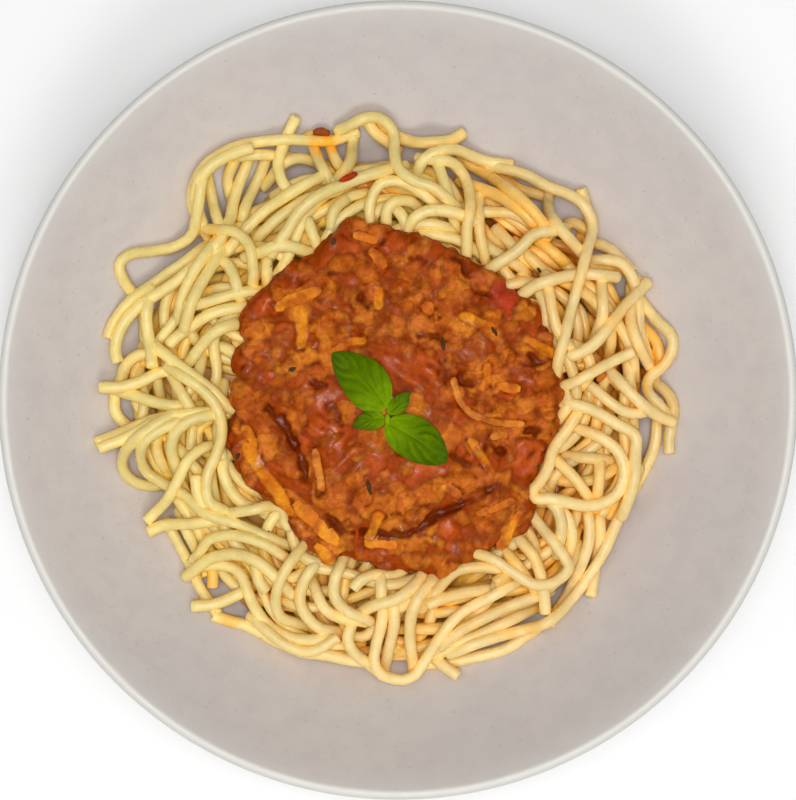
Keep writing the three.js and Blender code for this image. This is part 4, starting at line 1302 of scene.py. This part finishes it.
def sauce_tone(points, relief, smooth, crumbly, labels, streaks, furrow, proud, chunk, covered, sunk):
    """The colour of each point of the sauce's skin, with painted highlights on what stands up and painted
    shade in hollows and creases, and how wet it is.
    """
    square = relief.reshape(SAUCE_CELLS + 1, -1)
    above = (square - blurred(square, WIDE_BLUR)).ravel()
    creased = (square - blurred(square, NARROW_BLUR)).ravel()

    red = 0.8 * smooth_step(0.1, 1.0, 0.35 + 0.6 * noise(points, 6, 7) + 0.4 * smooth - 0.4 * crumbly)
    tone = mix(SAUCE_BASE, SAUCE_RED, red)
    # painted light and shade along the streaks: their crests are mixed towards pink and their troughs
    # towards dark, beside pink patches that are the sauce's own
    pale = smooth_step(0.25, 0.75, noise(points, 3.5, 8) + 0.3 * noise(points, 1.3, 9))
    tone = mix(tone, SAUCE_PINK, 0.7 * red * np.maximum(pale, smooth_step(0.05, 0.5, streaks)))
    tone = mix(tone, SAUCE_DARK, 0.5 * smooth_step(0.1, 0.6, -streaks))
    mince = 0.55 * MINCE_TONES[labels[0]] + 0.45 * MINCE_TONES[labels[1]]
    # painted light and shade: a crumb is lighter the further it stands above the liquid and darker at its
    # foot
    mince = mince * (0.62 + 0.48 * smooth_step(0.0, 1.1, proud))[:, None]
    coat = smooth_step(-0.3, 0.7, noise(points, 3.2, 49) + 0.5 * noise(points, 1.4, 50))
    mince = mix(mince, SAUCE_BASE, 0.5 * coat)
    tone = mix(tone, mince, smooth_step(-0.25, 0.45, proud))
    blush = smooth_step(0.1, 0.7, noise(points, 2.8, 53) + 0.5 * noise(points, 1.1, 54))
    tone = mix(tone, SAUCE_PINK, 0.34 * blush)
    tone = tone * (1 + 0.1 * noise(points, 0.8, 55) + 0.08 * noise(points, 1.6, 56))[:, None]
    # painted highlight: patches of what stands above its surroundings are lightened to orange
    glint = smooth_step(0.1, 0.7, noise(points, 2.2, 10) + 0.5 * noise(points, 5, 13))
    tone = mix(tone, SAUCE_TOP_HIGHLIGHT, 0.55 * glint * smooth_step(0.1, 0.9, above))
    smear = np.clip(covered - 0.1 + 0.5 * noise(points, 2.2, 6) + 0.2 * noise(points, 0.9, 7), 0, 1)
    tone = mix(tone, shred_tone(points, CARROT_TONES), 0.9 * sunk * (1 - smear))
    tone = mix(tone, TOMATO_TONE, 0.85 * chunk)
    # painted shade: hollows, narrow creases and the feet of crumbs turn dark; in the furrows the dark is
    # partly dark sauce standing there and partly painted shade
    shade_and_pooled_sauce = np.maximum(0.9 * smooth_step(0.1, 1.0, -above), 0.8 * smooth_step(0.03, 0.34, -creased))
    shade_and_pooled_sauce = np.maximum(shade_and_pooled_sauce, 0.3 * np.exp(-(proud / 0.2) ** 2))
    deep = smooth_step(0.35, 1.0, furrow + 0.35 * noise(points, 1.7, 48))
    shade_and_pooled_sauce = np.maximum(shade_and_pooled_sauce, 0.9 * deep) * (1 - 0.8 * sunk)
    tone = mix(tone, SAUCE_DARK, np.clip(shade_and_pooled_sauce, 0, 1))
    wet = 0.2 + 0.3 * shade_and_pooled_sauce - 0.3 * crumbly + 0.45 * noise(points, 1.8, 45) + 0.45 * streaks
    return np.clip(tone, 0, 1), smooth_step(0.3, 0.75, wet)


def make_sauce(material):
    points, outward = sauce_skin()
    relief, marks = sauce_relief(points)
    tone, wet = sauce_tone(points, relief, **marks)
    points = points + outward * relief[:, None]

    rows = SAUCE_CELLS + 1
    index = np.arange(rows * rows).reshape(rows, rows)
    edge = np.concatenate([index[0, :-1], index[:-1, -1], index[-1, :0:-1], index[:0:-1, 0]])
    under, numbers = [points], [edge]
    for share in SAUCE_UNDERSIDE:
        ring = points[edge] * (share, share, 1)
        ring[:, 2] = np.minimum(ring[:, 2], sauce_top(*ring[:, :2].T) - SAUCE_DEPTH * (1 - share ** 4))
        numbers.append(len(np.vstack(under)) + np.arange(len(edge)))
        under.append(ring)
    vertices = np.vstack([*under, (0, 0, SAUCE_MIDDLE_HEIGHT - SAUCE_DEPTH)])
    numbers.append(np.full(len(edge), len(vertices) - 1))
    faces = [grid_faces(rows, rows)]
    for near, far in zip(numbers[:-1], numbers[1:-1]):
        faces.append(np.stack([near, far, np.roll(far, -1), np.roll(near, -1)], axis=1))
    faces.append(np.stack([numbers[-2], numbers[-1], np.roll(numbers[-2], -1)], axis=1))
    hidden = len(vertices) - len(points)
    shape = Shape()
    shape.add(vertices, faces, np.vstack([tone, np.broadcast_to(SAUCE_BASE, (hidden, 3))]))
    mesh = add_piece("meat_sauce", shape, material, "sauce")
    set_share(mesh, "wet", np.pad(wet, (0, hidden)))
    return points


# ---- Vegetables and herbs --------------------------------------------------------------------

# Shreds in the sauce: plan route, width, and how far sauce covers them.
CARROT_SHREDS = [
    ([(-12, 44.3), (-9, 43.8), (-5.5, 42.5)], 2.6, 0.0),
    ([(-7.6, 40.6), (-5.5, 38.2), (-3.4, 35.4)], 3.4, 0.1),
    ([(-33, 24.4), (-29, 26.4), (-25, 28), (-20.5, 29.8)], 3.2, 0.1),
    ([(-26.5, 23.8), (-25.7, 20), (-26, 15.4)], 3.2, 0.25),
    ([(-40, -13), (-37.5, -17.3), (-33.5, -22.5), (-28.8, -29.5)], 3.4, 0.25),
    ([(-27.5, -27.3), (-23, -31.5), (-19.5, -35), (-16, -38.6)], 4.2, 0.0),
    ([(-22.2, -38.8), (-19.7, -41.2), (-17.5, -43.8)], 3.8, 0.1),
    ([(-9, -38.4), (-4.7, -37.9), (-0.3, -39.2)], 2.8, 0.05),
    ([(-5.3, -31.3), (-6.4, -33.8), (-7.8, -36.6)], 2.8, 0.35),
    ([(21, -30.5), (26.3, -28.8), (31.5, -26.6)], 2.7, 0.15),
    ([(27.2, -40.2), (29.8, -35.2), (33, -29.8)], 3.0, 0.1),
    ([(19.8, -11), (22, -14.8), (24.8, -19.4)], 2.4, 0.5),
    ([(26, 3.9), (29.2, 3.4), (32.8, 3)], 2.6, 0.05),
    ([(6.6, 26), (8, 24.8), (9.2, 23.2)], 3.2, 0.1),
    ([(-5.6, 29.6), (-5.4, 27.8), (-5.2, 25.6)], 2.6, 0.3),
    ([(11.5, -23.2), (14.5, -24), (16.6, -26.2)], 2.6, 0.2),
    ([(17.5, 22.5), (21, 21.2), (24.5, 19.2)], 2.8, 0.5),
    ([(35.5, 15.6), (38, 14.4), (40.5, 12.8)], 2.6, 0.5),
    ([(23.8, 9.3), (23.6, 6.5), (22.6, 3.6)], 2.2, 0.5),
    ([(-17, 13.5), (-13, 15.5), (-9.5, 15.5)], 2.4, 0.55),
    ([(-40.5, -7.5), (-39, -10), (-38.3, -12.3)], 2.2, 0.5),
]
ONION_SHREDS = [
    ([(14.7, 6.2), (15.5, 2.7), (16.6, -0.3), (18.5, -2.7), (21.4, -4.6), (24.9, -5.7), (29, -6.3),
      (33.8, -6.5)], 1.9, 0.15),
    ([(24.7, -10.2), (27.1, -9.4), (29.4, -9.5)], 2.0, 0.1),
    ([(-22.3, -13), (-21.4, -18.5), (-20.4, -24.5)], 2.3, 0.15),
]
CARROT_TONES = srgb(226, 146, 30), srgb(206, 110, 14)
ONION_TONES = srgb(214, 133, 46), srgb(186, 101, 27)
HERB_TONE = srgb(70, 50, 30)
# Flecks of dried herbs: (x, y, length, width, direction in degrees).
HERBS = [(-17.2, 42.3, 1.8, 1.5, 80), (25.8, 18.3, 2.6, 1.1, -60), (12, 14.8, 2.8, 1.2, -85),
         (-28.2, 8.2, 1.9, 1.4, 20), (-7.6, -23.7, 3.4, 1.2, -75), (-43, -15, 1.8, 1.2, 60),
         (32, 3, 0.9, 0.8, 0), (-32.5, 33.5, 1.2, 0.9, 45)]
HERBS_ON_PASTA = [(38.1, 35.3, 1.7, 1.0, -70), (-34.5, 36, 0.8, 0.6, 0), (-35, -35.5, 0.8, 0.6, 30)]
# Bits of sauce on the pasta: (x, y, length, width, direction, tone).
STRAY_BITS = [
    (-20.8, 72.8, 4.4, 3.0, 0, srgb(146, 70, 26)),
    (-13.2, 59.8, 5.0, 2.4, 28, srgb(170, 52, 22)),
    (55, 6.5, 3.0, 2.2, 50, srgb(190, 106, 34)),
]
# How far a shred's top is above the sauce before its crumbs, a shred's thickness, and how covered it is
# when only the sauce's skin shows it.
SHRED_RISE = 0.8
SHRED_THICKNESS = 0.9
SUNK = 0.2
SHRED_STEP = 0.4
# A shred follows the mean height of the sauce for this many steps to each side.
SHRED_EVENING = 5
SHRED_SIDES = 20


def shred_tone(points, tones):
    return mix(*tones, smooth_step(-0.5, 0.5, noise(points, 4, 5)))


def add_shred(shape, points, width, covered, tones):
    """A soft flat strip with blunt ends that lies in the sauce, smeared with it most along its rims."""
    route = smooth_route(points, SHRED_STEP)
    reach = SHRED_EVENING
    top = np.pad(sauce_top(*route.T), reach, mode="edge")
    top = np.convolve(top, np.full(2 * reach + 1, 1 / (2 * reach + 1)), mode="valid")
    middle = np.column_stack([route, top + SHRED_RISE - SHRED_THICKNESS / 2])
    tangent = unit(np.gradient(middle, axis=0))
    side = np.cross(tangent, (0, 0, 1))
    upward = np.cross(side, tangent)
    travelled = np.arange(len(middle)) * SHRED_STEP
    to_end = np.minimum(travelled, travelled[::-1])
    uneven = np.minimum(1, 0.5 + to_end / width) * (1 + 0.28 * noise(middle, 5, 1))
    angles = np.linspace(0, TURN, SHRED_SIDES, endpoint=False)
    # A rounded box rather than an ellipse.
    across = np.sign(np.cos(angles)) * np.abs(np.cos(angles)) ** 0.4 * width / 2
    along = np.sign(np.sin(angles)) * np.abs(np.sin(angles)) ** 0.4 * SHRED_THICKNESS / 2
    rings = middle[:, None] + side[:, None] * across[:, None] * uneven[:, None, None]
    rings = rings + upward[:, None] * along[:, None]
    vertices = np.vstack([rings.reshape(-1, 3), middle[:1], middle[-1:]])
    vertices += 0.12 * strayed(vertices, 1.8, 2, 3)
    rim = np.concatenate([np.tile(np.abs(np.cos(angles)), len(middle)), (1, 1)])
    smear = 0.22 + covered + 0.5 * rim ** 4
    smear += 0.8 * noise(vertices, 2.4, 6) + 0.4 * noise(vertices, 0.9, 7)
    tone = mix(shred_tone(vertices, tones), SAUCE_BASE, 0.85 * np.clip(smear, 0, 1))
    shape.add(vertices, turned_over(ring_faces(len(middle), SHRED_SIDES)), tone)


def add_shreds(name, shreds, tones, material):
    shape = Shape()
    for points, width, covered in shreds:
        if covered <= SUNK:
            add_shred(shape, points, width, covered, tones)
    add_piece(name, shape, material, "sauce")


def add_bit(shape, place, length, width, degrees, tone, flat, seed):
    """An uneven lump, wider than high."""
    vertices, faces = ball()
    uneven = noise(vertices, 0.9, seed) + 0.5 * noise(vertices, 0.4, seed + 1)
    vertices = vertices * (1 + 0.3 * uneven)[:, None]
    vertices = vertices * (0.55 * length, 0.425 * width, 0.5 * flat * length)
    vertices = turned(vertices, math.radians(degrees)) + place
    shape.add(vertices, [faces], tone * (1 + 0.15 * noise(vertices, 0.8, seed))[:, None])


def height_near(points, x, y, reach):
    return points[np.hypot(points[:, 0] - x, points[:, 1] - y) < reach, 2].max()


def make_vegetables(grid, skin, sauce):
    """skin is the points of the sauce's skin, on which flecks of herbs lie."""
    add_shreds("carrot_shreds", CARROT_SHREDS, CARROT_TONES, shred_material("carrot"))
    add_shreds("onion_shreds", ONION_SHREDS, ONION_TONES, shred_material("onion"))

    herbs, bits = Shape(), Shape()
    for seed, (x, y, length, width, degrees) in enumerate(HERBS):
        z = height_near(skin, x, y, 0.4 * length) - 0.1
        add_bit(herbs, (x, y, z), length, width, degrees, HERB_TONE, 0.3, seed)
    for seed, (x, y, length, width, degrees) in enumerate(HERBS_ON_PASTA, 20):
        z = grid.at(np.array([[x, y]]))[0]
        add_bit(herbs, (x, y, z), length, width, degrees, HERB_TONE, 0.3, seed)
    for seed, (x, y, length, width, degrees, tone) in enumerate(STRAY_BITS, 40):
        z = grid.at(np.array([[x, y]]))[0] + 0.3
        add_bit(bits, (x, y, z), length, width, degrees, tone, 0.7, seed)
    add_piece("herb_flecks", herbs, shred_material("herb"), "sauce")
    add_piece("stray_bits", bits, sauce, "sauce")


# ---- Basil -----------------------------------------------------------------------------------

SPRIG = np.array([-2.8, -4.8, 40.0])
LEAF_THICKNESS = 0.5
# How far the lowest parts of a leaf's upper side stay above the sauce before its crumbs.
LEAF_CLEARANCE = 1.65
# Below a leaf, and this far round it, crumbs stand out of the sauce no more than this.
LEAF_MARGIN = 5
CRUMBS_BELOW_LEAF = 0.7
# Direction of the midrib in degrees from +X, length, width, rise of the tip, dip of the sides, where the
# leaf is widest (less is nearer the base), how blunt it is, how far it bows to its left, and how far ahead
# and to its left of the bud it starts.
LEAVES = [
    dict(turn=133.5, length=20.6, width=12.2, rise=-1.6, dip=1.2, skew=0.76, blunt=0.66, bow=-0.9,
         start=2.1, aside=-1.4),
    dict(turn=-32.6, length=19.2, width=11.5, rise=-1.2, dip=1.1, skew=0.84, blunt=0.6, bow=0.5,
         start=0.4, aside=-1.2),
    dict(turn=193, length=9.0, width=5.2, rise=0.8, dip=0.5, skew=0.75, blunt=0.8, bow=-0.4,
         start=0.6, aside=0.0),
    dict(turn=46, length=8.2, width=4.4, rise=1.0, dip=0.5, skew=0.9, blunt=0.8, bow=-0.4,
         start=0.8, aside=0.7),
]
LEAF_LIGHT = srgb(112, 144, 2)
LEAF_GREEN = srgb(84, 112, 0)
LEAF_DARK = srgb(60, 84, 0)
LEAF_VEIN = srgb(124, 154, 6)
# Painted highlight on one side of each pucker.
LEAF_LIT_CREST = srgb(112, 142, 0)
# Painted shade in the grooves of the veins and the midrib.
LEAF_CREASE_SHADE = srgb(44, 70, 0)
VEIN_PAIRS = 3.6


def add_leaf(shape, turn, length, width, rise, dip, skew, blunt, bow, start, aside, rows=90, columns=51):
    part = (0.5 - 0.5 * np.cos(np.linspace(0, math.pi, rows)))[:, None]
    side = np.linspace(-1, 1, columns)[None, :]
    half = 0.1 + width / 2 * np.maximum(np.sin(math.pi * part ** skew), 0) ** blunt
    arch = np.sin(math.pi * np.minimum(1, part * 1.1)) * length * 0.07
    bend = -dip * np.abs(side) ** 1.6 * np.sin(math.pi * part)
    plan = np.stack([10 * part + 0 * side, 5 * side + 0 * part, 0 * side + 0 * part], axis=2).reshape(-1, 3)
    stray = noise(plan + (0, 0, turn), 2.6, 17).reshape(rows, columns)
    rib = VEIN_PAIRS * (part * 1.15 - 0.5 * np.abs(side) ** 1.3) + 0.3 * (side > 0) + 0.4 * stray
    swell = np.sqrt(np.abs(np.sin(math.pi * rib)))
    fade = np.sin(math.pi * part) ** 0.7 * smooth_step(0.03, 0.35, np.abs(side))
    fade = fade * (1 - 0.6 * np.abs(side) ** 3)
    pucker = length * 0.04 * swell * fade * (0.7 + 0.6 * stray)
    groove = -0.4 * np.exp(-(side / 0.06) ** 2) * (1 - part)
    curl = 0.03 * width * np.sin(6 * part + 1.5 * side) * part
    height = arch + rise * part ** 2 + bend + pucker + groove + curl
    ahead = start + length * part + 0 * side
    across = half * side + bow * np.sin(math.pi * part) + aside
    place = np.stack([ahead, across, height], axis=2).reshape(-1, 3)
    place = turned(place, math.radians(turn)) + SPRIG
    clear = sauce_top(place[:, 0], place[:, 1]) + LEAF_CLEARANCE
    place[:, 2] = np.maximum(place[:, 2], clear + 0.25 * (place[:, 2] - clear))

    # painted shade: dark lines along the side veins and the midrib's groove
    crease_shade = np.exp(-(np.sin(math.pi * rib) / 0.22) ** 2) * fade
    crease_shade = np.maximum(crease_shade, np.exp(-((side + 0.02) / 0.035) ** 2) * (1 - part ** 2))
    # painted light: one side of each pucker between the veins is lighter
    lit_crest = smooth_step(0.1, 0.9, np.sin(TURN * rib - 0.9)) * fade
    # the midrib's paler green, drawn along one side of its groove as painted highlight
    vein_and_highlight = np.exp(-((side - 0.05) / 0.04) ** 2) * (1 - part)
    tone = mix(LEAF_LIGHT, LEAF_GREEN, smooth_step(0.0, 0.5, part + 0 * side))
    # darker towards the tip and the edges; less dark on the puckers' swells, which is painted light
    tone = mix(tone, LEAF_DARK, smooth_step(0.35, 1.15, part + 0.3 * np.abs(side) - 0.15 * swell))
    tone = mix(tone, LEAF_LIT_CREST, 0.45 * lit_crest * (0.6 + 0.6 * stray))
    tone = mix(tone, LEAF_VEIN, 0.5 * vein_and_highlight)
    tone = mix(tone, LEAF_CREASE_SHADE, 0.5 * crease_shade * (0.7 + 0.6 * stray))
    tone = tone.reshape(-1, 3)

    count = rows * columns
    index = np.arange(count).reshape(rows, columns)
    edge = np.concatenate([index[:-1, 0], index[-1, :-1], index[:0:-1, -1], index[0, :0:-1]])
    onward = np.roll(edge, -1)
    lower = place - (0, 0, LEAF_THICKNESS)
    faces = [grid_faces(rows, columns)[:, ::-1], grid_faces(rows, columns) + count,
             np.stack([edge, onward, onward + count, edge + count], axis=1)[:, ::-1]]
    # painted shade: the leaf's underside is 0.8 times as light as its top
    shape.add(np.vstack([place, lower]), faces, np.vstack([tone, tone * 0.8]))


def make_basil():
    shape = Shape()
    for leaf in LEAVES:
        add_leaf(shape, **leaf)
    bud, faces = ball()
    bud = bud * (0.7, 1.5, 0.7) * (1 + 0.15 * noise(bud, 0.7, 4))[:, None]
    shape.add(bud + SPRIG + (0, -0.3, 0.5), [faces], LEAF_VEIN)
    add_piece("basil_leaves", shape, basil_material(), "basil_sprig")


# ---- The whole -------------------------------------------------------------------------------

make_stage()
make_bowl()
heights = make_spaghetti()
sauce_finish = sauce_material()
skin = make_sauce(sauce_finish)
make_vegetables(heights, skin, sauce_finish)
make_basil()
